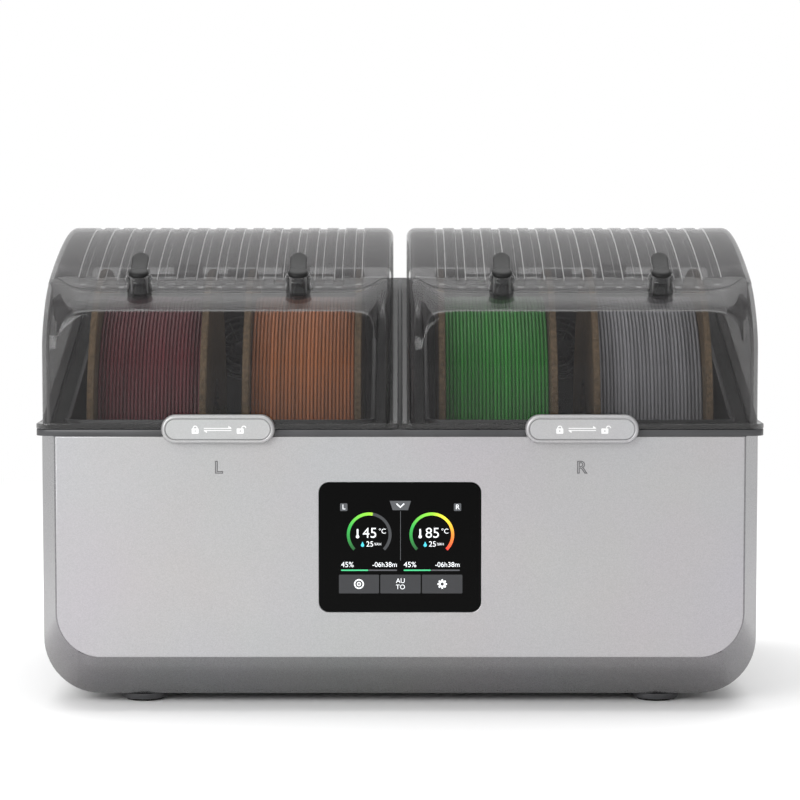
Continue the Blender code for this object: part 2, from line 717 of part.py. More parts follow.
def make_lid(name, side, materials):
    """Clear cover: a shell with a flange, two filament outlets and two hinge knuckles."""
    clear = materials["smoked_clear"]
    crown = lid_crown()
    lid = lid_solid(name, LID_HALF, crown, 0.0015, LID_EDGE, clear)
    flange = bent_plate("flange", [-LID_FLANGE_HALF, LID_FLANGE_HALF],
                        [0.0, SEAM_BEND, LID_BACK], set(), GAP, GAP + LID_FLANGE_HEIGHT, clear)
    round_upright_edges(flange, [(x, 0.0) for x in (-LID_FLANGE_HALF, LID_FLANGE_HALF)],
                        RIM_CORNER)
    weld_on(lid, flange)
    for x in (-PORT_X, PORT_X):
        boss = turned("boss", [(0.0, -0.006), (PORT_RADIUS, -0.006),
                               (PORT_RADIUS, PORT_HEIGHT - 0.0008),
                               (PORT_RADIUS - 0.0008, PORT_HEIGHT), (0.0, PORT_HEIGHT)],
                      20, clear)
        weld_on(lid, tilted(boss, x))
    inside = lid_solid("inside", LID_HALF - LID_WALL, inset_line(crown, LID_WALL), -0.012,
                       LID_EDGE - 0.0015, clear)
    cut(lid, inside)
    for x in (-PORT_X, PORT_X):
        bore = turned("bore", [(0.0, -0.014), (PORT_BORE, -0.014), (PORT_BORE, 0.02),
                               (0.0, 0.02)], 16, clear)
        cut(lid, tilted(bore, x))
    latch_x = side * LATCH_X - side * LID_X
    cut(lid, block("tab_slot", (latch_x - TAB_HALF - LATCH_TRAVEL - 0.001, -0.01, 0.1756),
                   (latch_x + TAB_HALF + 0.001, 0.0057, 0.1794), clear))
    reshape(lid, Matrix.Translation((side * LID_X, 0.0, 0.0)))
    for offset in (-0.0375, 0.0375):
        weld_on(lid, make_knuckle("knuckle", side * LID_X + offset, "forward", clear))
    return set_pivot(lid, (side * LID_X, HINGE_DEPTH, HINGE_HEIGHT))


def set_pivot(piece, pivot):
    """Puts the object's origin on its joint without moving its shape."""
    piece.data.transform(Matrix.Translation(-Vector(pivot)))
    piece.location = pivot
    return piece


def make_lid_seal(name, side, materials):
    """Soft ring on the rim, between the tub's lip and the lid's walls."""
    near, far = LID_X - LID_HALF + LID_WALL, LID_X + LID_HALF - LID_WALL
    tub_near, tub_far = CHAMBER_X - TUB_OUTER_HALF, CHAMBER_X + TUB_OUTER_HALF
    xs = sorted(side * x for x in (near + 0.0006, tub_near - GAP, tub_far + GAP, far - 0.0006))
    ys = [LID_FRONT + LID_WALL + 0.0008, TUB_FRONT - GAP, SEAM_BEND, TUB_BACK + GAP, 0.260]
    seal = bent_plate(name, xs, ys, {(1, 1), (1, 2)}, GAP, 0.003, materials["rubber_black"])
    round_upright_edges(seal, [(x, y) for x in (xs[0], xs[3]) for y in (ys[0], ys[4])], 0.005)
    return round_upright_edges(seal, [(x, y) for x in xs[1:3] for y in (ys[1], ys[3])],
                               TUB_CORNER)


def make_hinge_pin(name, side, materials):
    pin = turned(name, [(0.0, -0.086), (PIN_RADIUS, -0.086), (PIN_RADIUS, 0.086),
                        (0.0, 0.086)], 10, materials["steel"])
    lay_along_x(pin)
    pin.location = (side * LID_X, HINGE_DEPTH, HINGE_HEIGHT)
    return pin


def make_plug(name, x, materials):
    """Rubber stopper for one outlet, with a pull tab that lies back over the lid."""
    rubber = materials["rubber_black"]
    under_head = PORT_HEIGHT + GAP
    plug = turned(name, [(0.0, -0.003), (PLUG_RADIUS - 0.0005, -0.003),
                         (PLUG_RADIUS, -0.002), (PLUG_RADIUS, under_head),
                         (PLUG_HEAD_RADIUS, under_head),
                         (PLUG_HEAD_RADIUS, under_head + 0.0018),
                         (PLUG_HEAD_RADIUS - 0.0006, under_head + 0.0024),
                         (0.0, under_head + 0.0024)], 18, rubber)
    outline = [(0.0055, 0.003)] + arc((0.0, TAB_REACH), 0.0050, 0, 180, 6) + [(-0.0055, 0.003)]
    tab = prism("tab", outline, "z", -0.0008, 0.0006, rubber)
    lift = Matrix.Translation((0.0, 0.0, under_head + 0.0009))
    weld_on(plug, reshape(tab, lift @ Matrix.Rotation(TAB_RISE, 4, "X")))
    reshape(plug, Matrix.Rotation(PORT_TILT, 4, "X"))
    plug.location = (x, *PORT_FOOT)
    return plug


def stacked(name, rings, material):
    """A solid through outlines with equal numbers of points, closed at both ends."""
    count = len(rings[0])
    vertices = [point for ring in rings for point in ring]
    faces = [tuple(range(count)), tuple(range(len(vertices) - count, len(vertices)))]
    for ring in range(len(rings) - 1):
        for i in range(count):
            j = (i + 1) % count
            faces.append((ring * count + i, ring * count + j,
                          (ring + 1) * count + j, (ring + 1) * count + i))
    return make_object(name, vertices, faces, material)


def pill_ring(x, depth, inset):
    size = (LATCH_SIZE[0] - 2 * inset, LATCH_SIZE[1] - 2 * inset)
    radius = size[1] / 2 - 0.0002
    outline = rounded_rectangle(size, radius, (x, LATCH_HEIGHT), 6)
    return [(px, depth, pz) for px, pz in outline]


def make_latch(side_name, side, materials):
    """Sliding pill on the lid's front, with a tongue that hooks under the rim."""
    x = side * LATCH_X
    grey = materials["casing_grey"]
    recess, floor = LATCH_BORDER - GAP, LATCH_FRONT + 0.0012
    rings = [(LATCH_BACK, 0.0), (LATCH_FRONT + 0.0014, 0.0), (LATCH_FRONT + 0.0004, 0.0004),
             (LATCH_FRONT, 0.0014), (LATCH_FRONT, recess), (floor, recess)]
    body = stacked(f"latch_body_{side_name}", [pill_ring(x, *ring) for ring in rings], grey)
    tongue = block("tongue", (x - TONGUE_HALF, LATCH_BACK - 0.001, LATCH_HEIGHT - 0.00785),
                   (x + TONGUE_HALF, 0.006, LATCH_HEIGHT - 0.00505), grey)
    tab = block("tab", (x - TAB_HALF, LATCH_BACK - 0.001, 0.1760),
                (x + TAB_HALF, 0.0065, 0.1790), grey)
    keeper = block("keeper", (x - TAB_HALF, 0.0059, 0.1752), (x + TAB_HALF, 0.0073, 0.1808),
                   grey)
    weld_on(body, tongue, tab, keeper)
    rings = [(floor - GAP, LATCH_BORDER), (LATCH_FRONT - GAP, LATCH_BORDER)]
    face = stacked(f"latch_face_{side_name}", [pill_ring(x, *ring) for ring in rings],
                   materials["panel_silver"])
    for piece in (body, face):
        set_pivot(piece, (x, LATCH_FRONT, LATCH_HEIGHT))
    return [body, face]


# ---- Display and power -------------------------------------------------------------------

def make_display(materials):
    glass_outline = rounded_rectangle(GLASS_SIZE, GLASS_CORNER, (0, GLASS_HEIGHT), 5)
    glass = prism("display_glass", glass_outline, "y", 0.0003, 0.0018,
                  materials["glass_black"])
    half_w, half_h = SCREEN_SIZE[0] / 2, SCREEN_SIZE[1] / 2
    screen = block("display_screen", (-half_w, 0.0021, GLASS_HEIGHT - half_h),
                   (half_w, 0.0055, GLASS_HEIGHT + half_h), materials["plastic_grey"])
    board = block("display_board", (-0.052, 0.0058, GLASS_HEIGHT - 0.043),
                  (0.052, 0.0074, GLASS_HEIGHT + 0.043), materials["board_green"])
    for x, z, w, h in ((-0.030, 0.020, 0.012, 0.008), (0.0, -0.012, 0.016, 0.016),
                       (0.034, -0.030, 0.010, 0.006)):
        weld_on(board, block("chip", (x - w / 2, 0.0070, GLASS_HEIGHT + z - h / 2),
                             (x + w / 2, 0.0100, GLASS_HEIGHT + z + h / 2),
                             materials["board_green"]))
    return [glass, screen, board]


def make_electronics(materials):
    floor = CASING_BOTTOM + CASING_WALL + GAP
    supply = block("power_supply", (-0.060, 0.150, floor), (0.060, 0.245, 0.046),
                   materials["plastic_grey"])
    board = block("main_board", (-0.060, 0.045, 0.014), (0.060, 0.130, 0.0156),
                  materials["board_green"])
    for x in (-0.055, 0.055):
        for y in (0.050, 0.125):
            weld_on(board, block("post", (x - 0.003, y - 0.003, floor),
                                 (x + 0.003, y + 0.003, 0.0148), materials["board_green"]))
    for x, y, w, h in ((-0.030, 0.070, 0.020, 0.010), (0.020, 0.085, 0.018, 0.005),
                       (0.045, 0.110, 0.010, 0.012)):
        weld_on(board, block("part", (x - w / 2, y - w / 2, 0.0150),
                             (x + w / 2, y + w / 2, 0.0150 + h), materials["board_green"]))
    return [supply, board]


def make_power_inlet(materials):
    """Inlet block with a socket for a mains lead and a well for the rocker switch."""
    dark = materials["tub_black"]
    x, z = INLET_X, INLET_HEIGHT
    inlet = block("power_inlet", (x - 0.030, 0.2560, z - 0.0125),
                  (x + 0.030, 0.2793, z + 0.0125), dark)
    weld_on(inlet, block("flange", (x - 0.033, 0.2735, z - 0.0155),
                         (x + 0.033, 0.2767, z + 0.0155), dark))
    cut(inlet, block("socket", (x - 0.026, 0.2620, z - 0.0085), (x + 0.000, 0.30, z + 0.0085),
                     dark))
    cut(inlet, block("well", (x + 0.006, 0.2640, z - 0.0105), (x + 0.026, 0.30, z + 0.0105),
                     dark))
    rocker_outline = [(-0.004, -0.006), (0.001, -0.0087), (0.0032, -0.0087), (0.0018, 0.0),
                      (0.0032, 0.0087), (0.001, 0.0087), (-0.004, 0.006)]
    rocker = prism("power_switch", rocker_outline, "x", -0.0095, 0.0095, dark)
    reshape(rocker, Matrix.Rotation(radians(-6), 4, "X"))
    rocker.location = (x + 0.016, 0.2745, z)
    return [inlet, rocker]


# ---- Assembly ----------------------------------------------------------------------------

def build():
    clear_scene()
    materials = make_materials()
    make_outer_casing(materials)
    make_front_panel(materials)
    make_rear_cover(materials)
    make_rim(materials)
    make_feet(materials)
    make_display(materials)
    make_electronics(materials)
    make_power_inlet(materials)
    make_axles_and_rollers(materials)
    make_spools(materials)
    for side_name, side in SIDES.items():
        make_tub(f"tub_{side_name}", side * CHAMBER_X, materials)
        make_fan(side_name, side, materials)
        make_heater(side_name, side, materials)
        make_lid(f"lid_{side_name}", side, materials)
        make_lid_seal(f"lid_seal_{side_name}", side, materials)
        make_hinge_pin(f"hinge_pin_{side_name}", side, materials)
        make_latch(side_name, side, materials)
        for place, offset in (("outer", side * PORT_X), ("inner", -side * PORT_X)):
            make_plug(f"plug_{side_name}_{place}", side * LID_X + offset, materials)
    whole_box = bpy.data.objects.new("whole_box", None)
    bpy.context.collection.objects.link(whole_box)
    for piece in list(bpy.context.collection.objects):
        if piece.type == "MESH":
            piece.parent = whole_box
    whole_box.location.y = FRONT_FACE_Y
    bpy.context.view_layer.update()


build()
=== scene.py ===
import bpy
import bmesh
from math import cos, pi, radians, sin, sqrt
from mathutils import Matrix, Vector


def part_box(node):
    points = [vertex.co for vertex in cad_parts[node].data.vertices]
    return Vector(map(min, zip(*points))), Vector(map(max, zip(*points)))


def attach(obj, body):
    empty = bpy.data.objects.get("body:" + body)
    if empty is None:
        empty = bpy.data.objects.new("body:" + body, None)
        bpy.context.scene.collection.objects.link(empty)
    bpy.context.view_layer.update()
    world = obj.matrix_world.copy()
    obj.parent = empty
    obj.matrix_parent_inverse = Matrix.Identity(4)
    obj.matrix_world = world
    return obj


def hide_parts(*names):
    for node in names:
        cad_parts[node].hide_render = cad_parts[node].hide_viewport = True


# A filament dryer box: two smoked lids over four spools, a silver front with a touch display.
# Everything is in metres; X runs to the right, Y to the back and Z up.

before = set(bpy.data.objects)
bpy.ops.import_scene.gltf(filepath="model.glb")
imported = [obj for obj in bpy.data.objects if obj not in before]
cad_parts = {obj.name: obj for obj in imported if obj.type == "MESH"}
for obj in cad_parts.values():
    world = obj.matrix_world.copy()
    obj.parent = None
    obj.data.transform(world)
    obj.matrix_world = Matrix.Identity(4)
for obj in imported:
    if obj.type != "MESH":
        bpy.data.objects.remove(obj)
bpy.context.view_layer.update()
scene = bpy.context.scene
print("frame loaded:", len(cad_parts), "CAD nodes")

sides = {"left": -1, "right": 1}
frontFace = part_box("front_panel")[0].y        # the plane of the silver panel's face


def newPiece(name, points, faces):
    mesh = bpy.data.meshes.new(name)
    mesh.from_pydata([tuple(p) for p in points], [], faces)
    mesh.update()
    piece = bpy.data.objects.new(name, mesh)
    scene.collection.objects.link(piece)
    return piece


def faceOutwards(piece, merge=0.000001):
    shape = bmesh.new()
    shape.from_mesh(piece.data)
    bmesh.ops.remove_doubles(shape, verts=shape.verts, dist=merge)
    bmesh.ops.recalc_face_normals(shape, faces=shape.faces)
    shape.to_mesh(piece.data)
    shape.free()
    return piece


def smoothShade(piece, angle=35):
    piece.data.shade_smooth()
    piece.data.set_sharp_from_angle(angle=radians(angle))
    return piece


def evenShade(piece, angle=35):
    # keeps the big flat faces flat next to their rounded edges
    smoothShade(piece, angle)
    even = piece.modifiers.new("even shading", "WEIGHTED_NORMAL")
    even.keep_sharp = True
    even.weight = 100
    return piece


def roundOff(piece, width, segments=2, angle=30):
    bevel = piece.modifiers.new("edge rounding", "BEVEL")
    bevel.width = width
    bevel.segments = segments
    bevel.limit_method = "ANGLE"
    bevel.angle_limit = radians(angle)
    bevel.harden_normals = True
    bevel.use_clamp_overlap = True
    piece.data.shade_smooth()
    return piece


def applyStack(piece):
    view = bpy.context.evaluated_depsgraph_get()
    view.update()
    finished = bpy.data.meshes.new_from_object(piece.evaluated_get(view))
    finished.name = piece.name
    if piece.type == "MESH":
        piece.modifiers.clear()
        piece.data = finished
        return piece
    name = piece.name
    place = piece.matrix_world.copy()
    bpy.data.objects.remove(piece)
    made = bpy.data.objects.new(name, finished)
    scene.collection.objects.link(made)
    made.matrix_world = place
    return made


def settle(piece, matrix):
    piece.data.transform(matrix)
    piece.matrix_world = Matrix.Identity(4)
    return piece


def dress(piece, material, body, slot, *replaced):
    piece.data.materials.clear()
    piece.data.materials.append(material)
    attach(piece, body)
    if replaced:
        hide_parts(*replaced)
    return piece


def joinPieces(name, pieces):
    shape = bmesh.new()
    for piece in pieces:
        shape.from_mesh(piece.data)
    mesh = bpy.data.meshes.new(name)
    shape.to_mesh(mesh)
    shape.free()
    for piece in pieces:
        bpy.data.objects.remove(piece)
    joined = bpy.data.objects.new(name, mesh)
    scene.collection.objects.link(joined)
    return joined


def arcPoints(centre, radius, start, end, steps):
    return [(centre[0] + radius * cos(radians(start + (end - start) * i / steps)),
             centre[1] + radius * sin(radians(start + (end - start) * i / steps)))
            for i in range(steps + 1)]


def roundedOutline(width, height, radius, centre=(0.0, 0.0), steps=8):
    points = []
    for quarter, (sx, sy) in enumerate([(1, 1), (-1, 1), (-1, -1), (1, -1)]):
        middle = (centre[0] + sx * (width / 2 - radius), centre[1] + sy * (height / 2 - radius))
        points += arcPoints(middle, radius, 90 * quarter, 90 * quarter + 90, steps)
    return points


def loft(name, rings):
    # skins a run of rings that all have the same number of points, and caps both ends
    count = len(rings[0])
    points = [p for ring in rings for p in ring]
    faces = []
    for r in range(len(rings) - 1):
        for i in range(count):
            j = (i + 1) % count
            faces.append((r * count + i, r * count + j, (r + 1) * count + j, (r + 1) * count + i))
    faces.append(tuple(range(count)))
    faces.append(tuple(range(len(points) - count, len(points))))
    return newPiece(name, points, faces)


def flatShape(name, outlines, thickness, rounding=0.0):
    # a plate from closed outlines, the first one the edge and the others holes; lies in XY
    curve = bpy.data.curves.new(name, "CURVE")
    curve.dimensions = "2D"
    curve.fill_mode = "BOTH"
    curve.extrude = thickness / 2 - rounding
    curve.bevel_depth = rounding
    curve.bevel_resolution = 2
    curve.offset = -rounding
    for outline in outlines:
        spline = curve.splines.new("POLY")
        spline.points.add(len(outline) - 1)
        for point, (x, y) in zip(spline.points, outline):
            point.co = (x, y, 0.0, 1.0)
        spline.use_cyclic_u = True
    plate = bpy.data.objects.new(name, curve)
    scene.collection.objects.link(plate)
    return faceOutwards(applyStack(plate))


# stands an XY drawing up against the front: X stays, Y becomes Z, thickness goes along Y
def standUp(depth):
    return Matrix.Translation((0.0, depth, 0.0)) @ Matrix.Rotation(pi / 2, 4, "X")


def alongX(piece, x, depth, height):
    # lays a piece turned about Z along X instead
    place = Matrix.Translation((x, depth + frontFace, height))
    return settle(piece, place @ Matrix.Rotation(pi / 2, 4, "Y"))


def turnedShape(name, profile, steps):
    # a profile of (radius, height) pairs, top to bottom, turned about Z by a Screw
    mesh = bpy.data.meshes.new(name)
    edges = [(i, i + 1) for i in range(len(profile) - 1)]
    mesh.from_pydata([(r, 0.0, z) for r, z in profile], edges, [])
    piece = bpy.data.objects.new(name, mesh)
    scene.collection.objects.link(piece)
    screw = piece.modifiers.new("turning", "SCREW")
    screw.angle = 2 * pi
    screw.steps = steps
    screw.render_steps = steps
    screw.use_merge_vertices = True
    screw.merge_threshold = 0.00002
    screw.use_smooth_shade = True
    applyStack(piece)
    faceOutwards(piece, 0.00001)
    return smoothShade(piece, 40)


def cadCopy(node, name, rounding, segments=2, angle=30):
    # the CAD shape again with its flat faces whole and its edges rounded
    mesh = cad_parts[node].data.copy()
    mesh.name = name
    piece = bpy.data.objects.new(name, mesh)
    scene.collection.objects.link(piece)
    shape = bmesh.new()
    shape.from_mesh(mesh)
    bmesh.ops.remove_doubles(shape, verts=shape.verts, dist=0.00002)
    bmesh.ops.dissolve_limit(shape, angle_limit=radians(1.0), verts=shape.verts,
                             edges=shape.edges)
    shape.to_mesh(mesh)
    shape.free()
    mesh.materials.clear()
    roundOff(piece, rounding, segments, angle)
    return piece


def startMaterial(name):
    material = bpy.data.materials.new(name)
    material.use_nodes = True
    material.node_tree.nodes.clear()
    return material, material.node_tree.nodes, material.node_tree.links


# satin paint with fine metal flake over moulded plastic
def flakePaint(name, colour, flake, metal, rough, flakeSize=0.00035):
    material, nodes, links = startMaterial(name)
    flakeFrame = nodes.new("NodeFrame")
    flakeFrame.label = "metal flake"
    bumpFrame = nodes.new("NodeFrame")
    bumpFrame.label = "orange peel"
    output = nodes.new("ShaderNodeOutputMaterial")
    output.label = "painted surface"
    shader = nodes.new("ShaderNodeBsdfPrincipled")
    shader.label = "flake paint"
    place = nodes.new("ShaderNodeTexCoord")
    place.label = "place on the part"
    speck = nodes.new("ShaderNodeTexVoronoi")
    speck.label = "single flakes"
    speck.parent = flakeFrame
    tilt = nodes.new("ShaderNodeSeparateColor")
    tilt.label = "how each flake lies"
    tilt.parent = flakeFrame
    brightness = nodes.new("ShaderNodeValToRGB")
    brightness.label = "dull to bright flakes"
    brightness.parent = flakeFrame
    shine = nodes.new("ShaderNodeMapRange")
    shine.label = "flakes change the gloss"
    shine.parent = flakeFrame
    cloud = nodes.new("ShaderNodeTexNoise")
    cloud.label = "uneven spray"
    cloud.parent = bumpFrame
    peel = nodes.new("ShaderNodeTexNoise")
    peel.label = "paint texture"
    peel.parent = bumpFrame
    relief = nodes.new("ShaderNodeBump")
    relief.label = "paint relief"
    relief.parent = bumpFrame
    tone = nodes.new("ShaderNodeMix")
    tone.label = "spray tone over flakes"
    tone.data_type = "RGBA"
    tone.blend_type = "MULTIPLY"
    speck.inputs["Scale"].default_value = 1.0 / flakeSize
    low = tuple(c * (1.0 - flake) for c in colour)
    high = tuple(min(1.0, c * (1.0 + flake)) for c in colour)
    brightness.color_ramp.elements[0].position = 0.15
    brightness.color_ramp.elements[0].color = (*low, 1.0)
    brightness.color_ramp.elements[1].position = 0.85
    brightness.color_ramp.elements[1].color = (*high, 1.0)
    shine.inputs["To Min"].default_value = rough - 0.06
    shine.inputs["To Max"].default_value = rough + 0.06
    cloud.inputs["Scale"].default_value = 9.0
    cloud.inputs["Detail"].default_value = 3.0
    tone.inputs["Factor"].default_value = 0.10
    peel.inputs["Scale"].default_value = 1400.0
    peel.inputs["Detail"].default_value = 2.0
    relief.inputs["Strength"].default_value = 0.10
    relief.inputs["Distance"].default_value = 0.0002
    shader.inputs["Metallic"].default_value = metal
    shader.inputs["Coat Weight"].default_value = 0.15
    shader.inputs["Coat Roughness"].default_value = 0.25
    links.new(place.outputs["Object"], speck.inputs["Vector"])
    links.new(speck.outputs["Color"], tilt.inputs["Color"])
    links.new(tilt.outputs["Red"], brightness.inputs["Fac"])
    links.new(tilt.outputs["Green"], shine.inputs["Value"])
    links.new(place.outputs["Object"], cloud.inputs["Vector"])
    links.new(place.outputs["Object"], peel.inputs["Vector"])
    links.new(brightness.outputs["Color"], tone.inputs["A"])
    links.new(cloud.outputs["Color"], tone.inputs["B"])
    links.new(peel.outputs["Fac"], relief.inputs["Height"])
    links.new(tone.outputs["Result"], shader.inputs["Base Color"])
    links.new(shine.outputs["Result"], shader.inputs["Roughness"])
    links.new(relief.outputs["Normal"], shader.inputs["Normal"])
    links.new(shader.outputs["BSDF"], output.inputs["Surface"])
    rows = [(place, -1500, 0), (speck, -1250, 250), (tilt, -1030, 250), (brightness, -800, 350),
            (shine, -800, 100), (cloud, -1250, -150), (peel, -1250, -400), (relief, -800, -400),
            (tone, -500, 250), (shader, -250, 150), (output, 50, 150)]
    for node, x, y in rows:
        node.location = (x, y)
    return material


# solid-coloured plastic with the fine grain of its mould
def mouldedPlastic(name, colour, rough, grainSize, grainDepth, gloss=0.5):
    material, nodes, links = startMaterial(name)
    colourFrame = nodes.new("NodeFrame")
    colourFrame.label = "colour variation"
    grainFrame = nodes.new("NodeFrame")
    grainFrame.label = "mould grain"
    output = nodes.new("ShaderNodeOutputMaterial")
    output.label = "plastic surface"
    shader = nodes.new("ShaderNodeBsdfPrincipled")
    shader.label = "moulded plastic"
    place = nodes.new("ShaderNodeTexCoord")
    place.label = "place on the part"
    mottle = nodes.new("ShaderNodeTexNoise")
    mottle.label = "faint mottling"
    mottle.parent = colourFrame
    shades = nodes.new("ShaderNodeValToRGB")
    shades.label = "darker and lighter"
    shades.parent = colourFrame
    wear = nodes.new("ShaderNodeMapRange")
    wear.label = "rubbed gloss"
    wear.parent = colourFrame
    grain = nodes.new("ShaderNodeTexVoronoi")
    grain.label = "etched grain"
    grain.parent = grainFrame
    relief = nodes.new("ShaderNodeBump")
    relief.label = "grain relief"
    relief.parent = grainFrame
    mottle.inputs["Scale"].default_value = 38.0
    mottle.inputs["Detail"].default_value = 5.0
    shades.color_ramp.elements[0].position = 0.3
    shades.color_ramp.elements[0].color = (*(c * 0.82 for c in colour), 1.0)
    shades.color_ramp.elements[1].position = 0.7
    shades.color_ramp.elements[1].color = (*(min(1.0, c * 1.16) for c in colour), 1.0)
    wear.inputs["To Min"].default_value = max(0.03, rough - 0.07)
    wear.inputs["To Max"].default_value = rough + 0.07
    grain.inputs["Scale"].default_value = 1.0 / grainSize
    relief.inputs["Strength"].default_value = 0.35
    relief.inputs["Distance"].default_value = grainDepth
    shader.inputs["Specular IOR Level"].default_value = gloss
    links.new(place.outputs["Object"], mottle.inputs["Vector"])
    links.new(place.outputs["Object"], grain.inputs["Vector"])
    links.new(mottle.outputs["Fac"], shades.inputs["Fac"])
    links.new(mottle.outputs["Fac"], wear.inputs["Value"])
    links.new(grain.outputs["Distance"], relief.inputs["Height"])
    links.new(shades.outputs["Color"], shader.inputs["Base Color"])
    links.new(wear.outputs["Result"], shader.inputs["Roughness"])
    links.new(relief.outputs["Normal"], shader.inputs["Normal"])
    links.new(shader.outputs["BSDF"], output.inputs["Surface"])
    rows = [(place, -1300, 0), (mottle, -1050, 150), (shades, -800, 250), (wear, -800, 0),
            (grain, -1050, -250), (relief, -800, -250), (shader, -450, 100), (output, -150, 100)]
    for node, x, y in rows:
        node.location = (x, y)
    return material


# smoke-tinted clear plastic: dark and see-through square-on, more solid at a glance, where its
# colour turns to a pale painted sheen that stands in for reflection
def smokedClear(name, tint, edge, clearest, haze):
    material, nodes, links = startMaterial(name)
    tintFrame = nodes.new("NodeFrame")
    tintFrame.label = "how much shows through"
    polishFrame = nodes.new("NodeFrame")
    polishFrame.label = "polish"
    output = nodes.new("ShaderNodeOutputMaterial")
    output.label = "lid surface"
    shader = nodes.new("ShaderNodeBsdfPrincipled")
    shader.label = "smoked plastic"
    place = nodes.new("ShaderNodeTexCoord")
    place.label = "place on the part"
    glance = nodes.new("ShaderNodeLayerWeight")
    glance.label = "glancing or square-on"
    glance.parent = tintFrame
    cover = nodes.new("ShaderNodeMapRange")
    cover.label = "solid at the edges"
    cover.parent = tintFrame
    paintedSheen = nodes.new("ShaderNodeValToRGB")
    paintedSheen.label = "painted sheen, pale at a glance"
    paintedSheen.parent = tintFrame
    wave = nodes.new("ShaderNodeTexNoise")
    wave.label = "flow of the moulding"
    wave.parent = polishFrame
    relief = nodes.new("ShaderNodeBump")
    relief.label = "slight waviness"
    relief.parent = polishFrame
    smear = nodes.new("ShaderNodeMapRange")
    smear.label = "handling haze"
    smear.parent = polishFrame
    glance.inputs["Blend"].default_value = 0.30
    cover.inputs["To Min"].default_value = 1.0 - clearest
    cover.inputs["To Max"].default_value = 0.80
    # painted sheen: the base colour runs from the tint square-on to the pale edge colour at a
    # glance, standing in for reflection
    paintedSheen.color_ramp.elements[0].position = 0.30
    paintedSheen.color_ramp.elements[0].color = (*tint, 1.0)
    paintedSheen.color_ramp.elements[1].position = 0.93
    paintedSheen.color_ramp.elements[1].color = (*edge, 1.0)
    wave.inputs["Scale"].default_value = 14.0
    wave.inputs["Detail"].default_value = 2.0
    relief.inputs["Strength"].default_value = 0.02
    relief.inputs["Distance"].default_value = 0.002
    smear.inputs["To Min"].default_value = 0.015
    smear.inputs["To Max"].default_value = 0.015 + haze
    shader.inputs["IOR"].default_value = 1.58
    shader.inputs["Specular IOR Level"].default_value = 0.9
    links.new(place.outputs["Object"], wave.inputs["Vector"])
    links.new(wave.outputs["Fac"], relief.inputs["Height"])
    links.new(wave.outputs["Fac"], smear.inputs["Value"])
    links.new(relief.outputs["Normal"], shader.inputs["Normal"])
    links.new(smear.outputs["Result"], shader.inputs["Roughness"])
    links.new(glance.outputs["Fresnel"], cover.inputs["Value"])
    links.new(glance.outputs["Facing"], paintedSheen.inputs["Fac"])
    links.new(paintedSheen.outputs["Color"], shader.inputs["Base Color"])
    links.new(cover.outputs["Result"], shader.inputs["Alpha"])
    links.new(shader.outputs["BSDF"], output.inputs["Surface"])
    rows = [(place, -1300, 0), (wave, -1050, 0), (relief, -800, -150), (smear, -800, 50),
            (glance, -1050, 300), (cover, -800, 300), (paintedSheen, -800, 550), (shader, -450, 100),
            (output, -150, 100)]
    for node, x, y in rows:
        node.location = (x, y)
    return material


# soft black rubber with a dusty bloom
def softRubber(name, colour, rough):
    material, nodes, links = startMaterial(name)
    bloomFrame = nodes.new("NodeFrame")
    bloomFrame.label = "dusty bloom"
    output = nodes.new("ShaderNodeOutputMaterial")
    output.label = "rubber surface"
    shader = nodes.new("ShaderNodeBsdfPrincipled")
    shader.label = "rubber"
    place = nodes.new("ShaderNodeTexCoord")
    place.label = "place on the part"
    dust = nodes.new("ShaderNodeTexNoise")
    dust.label = "dust and handling"
    dust.parent = bloomFrame
    shades = nodes.new("ShaderNodeValToRGB")
    shades.label = "clean to dusty"
    shades.parent = bloomFrame
    grain = nodes.new("ShaderNodeTexNoise")
    grain.label = "moulded skin"
    relief = nodes.new("ShaderNodeBump")
    relief.label = "skin relief"
    dust.inputs["Scale"].default_value = 120.0
    dust.inputs["Detail"].default_value = 6.0
    shades.color_ramp.elements[0].position = 0.35
    shades.color_ramp.elements[0].color = (*colour, 1.0)
    shades.color_ramp.elements[1].position = 0.8
    shades.color_ramp.elements[1].color = (*(c * 1.6 + 0.006 for c in colour), 1.0)
    grain.inputs["Scale"].default_value = 2600.0
    relief.inputs["Strength"].default_value = 0.25
    relief.inputs["Distance"].default_value = 0.0001
    shader.inputs["Roughness"].default_value = rough
    shader.inputs["Specular IOR Level"].default_value = 0.22
    links.new(place.outputs["Object"], dust.inputs["Vector"])
    links.new(place.outputs["Object"], grain.inputs["Vector"])
    links.new(dust.outputs["Fac"], shades.inputs["Fac"])
    links.new(grain.outputs["Fac"], relief.inputs["Height"])
    links.new(shades.outputs["Color"], shader.inputs["Base Color"])
    links.new(relief.outputs["Normal"], shader.inputs["Normal"])
    links.new(shader.outputs["BSDF"], output.inputs["Surface"])
    rows = [(place, -1300, 0), (dust, -1050, 150), (shades, -800, 150), (grain, -1050, -150),
            (relief, -800, -150), (shader, -450, 100), (output, -150, 100)]
    for node, x, y in rows:
        node.location = (x, y)
    return material


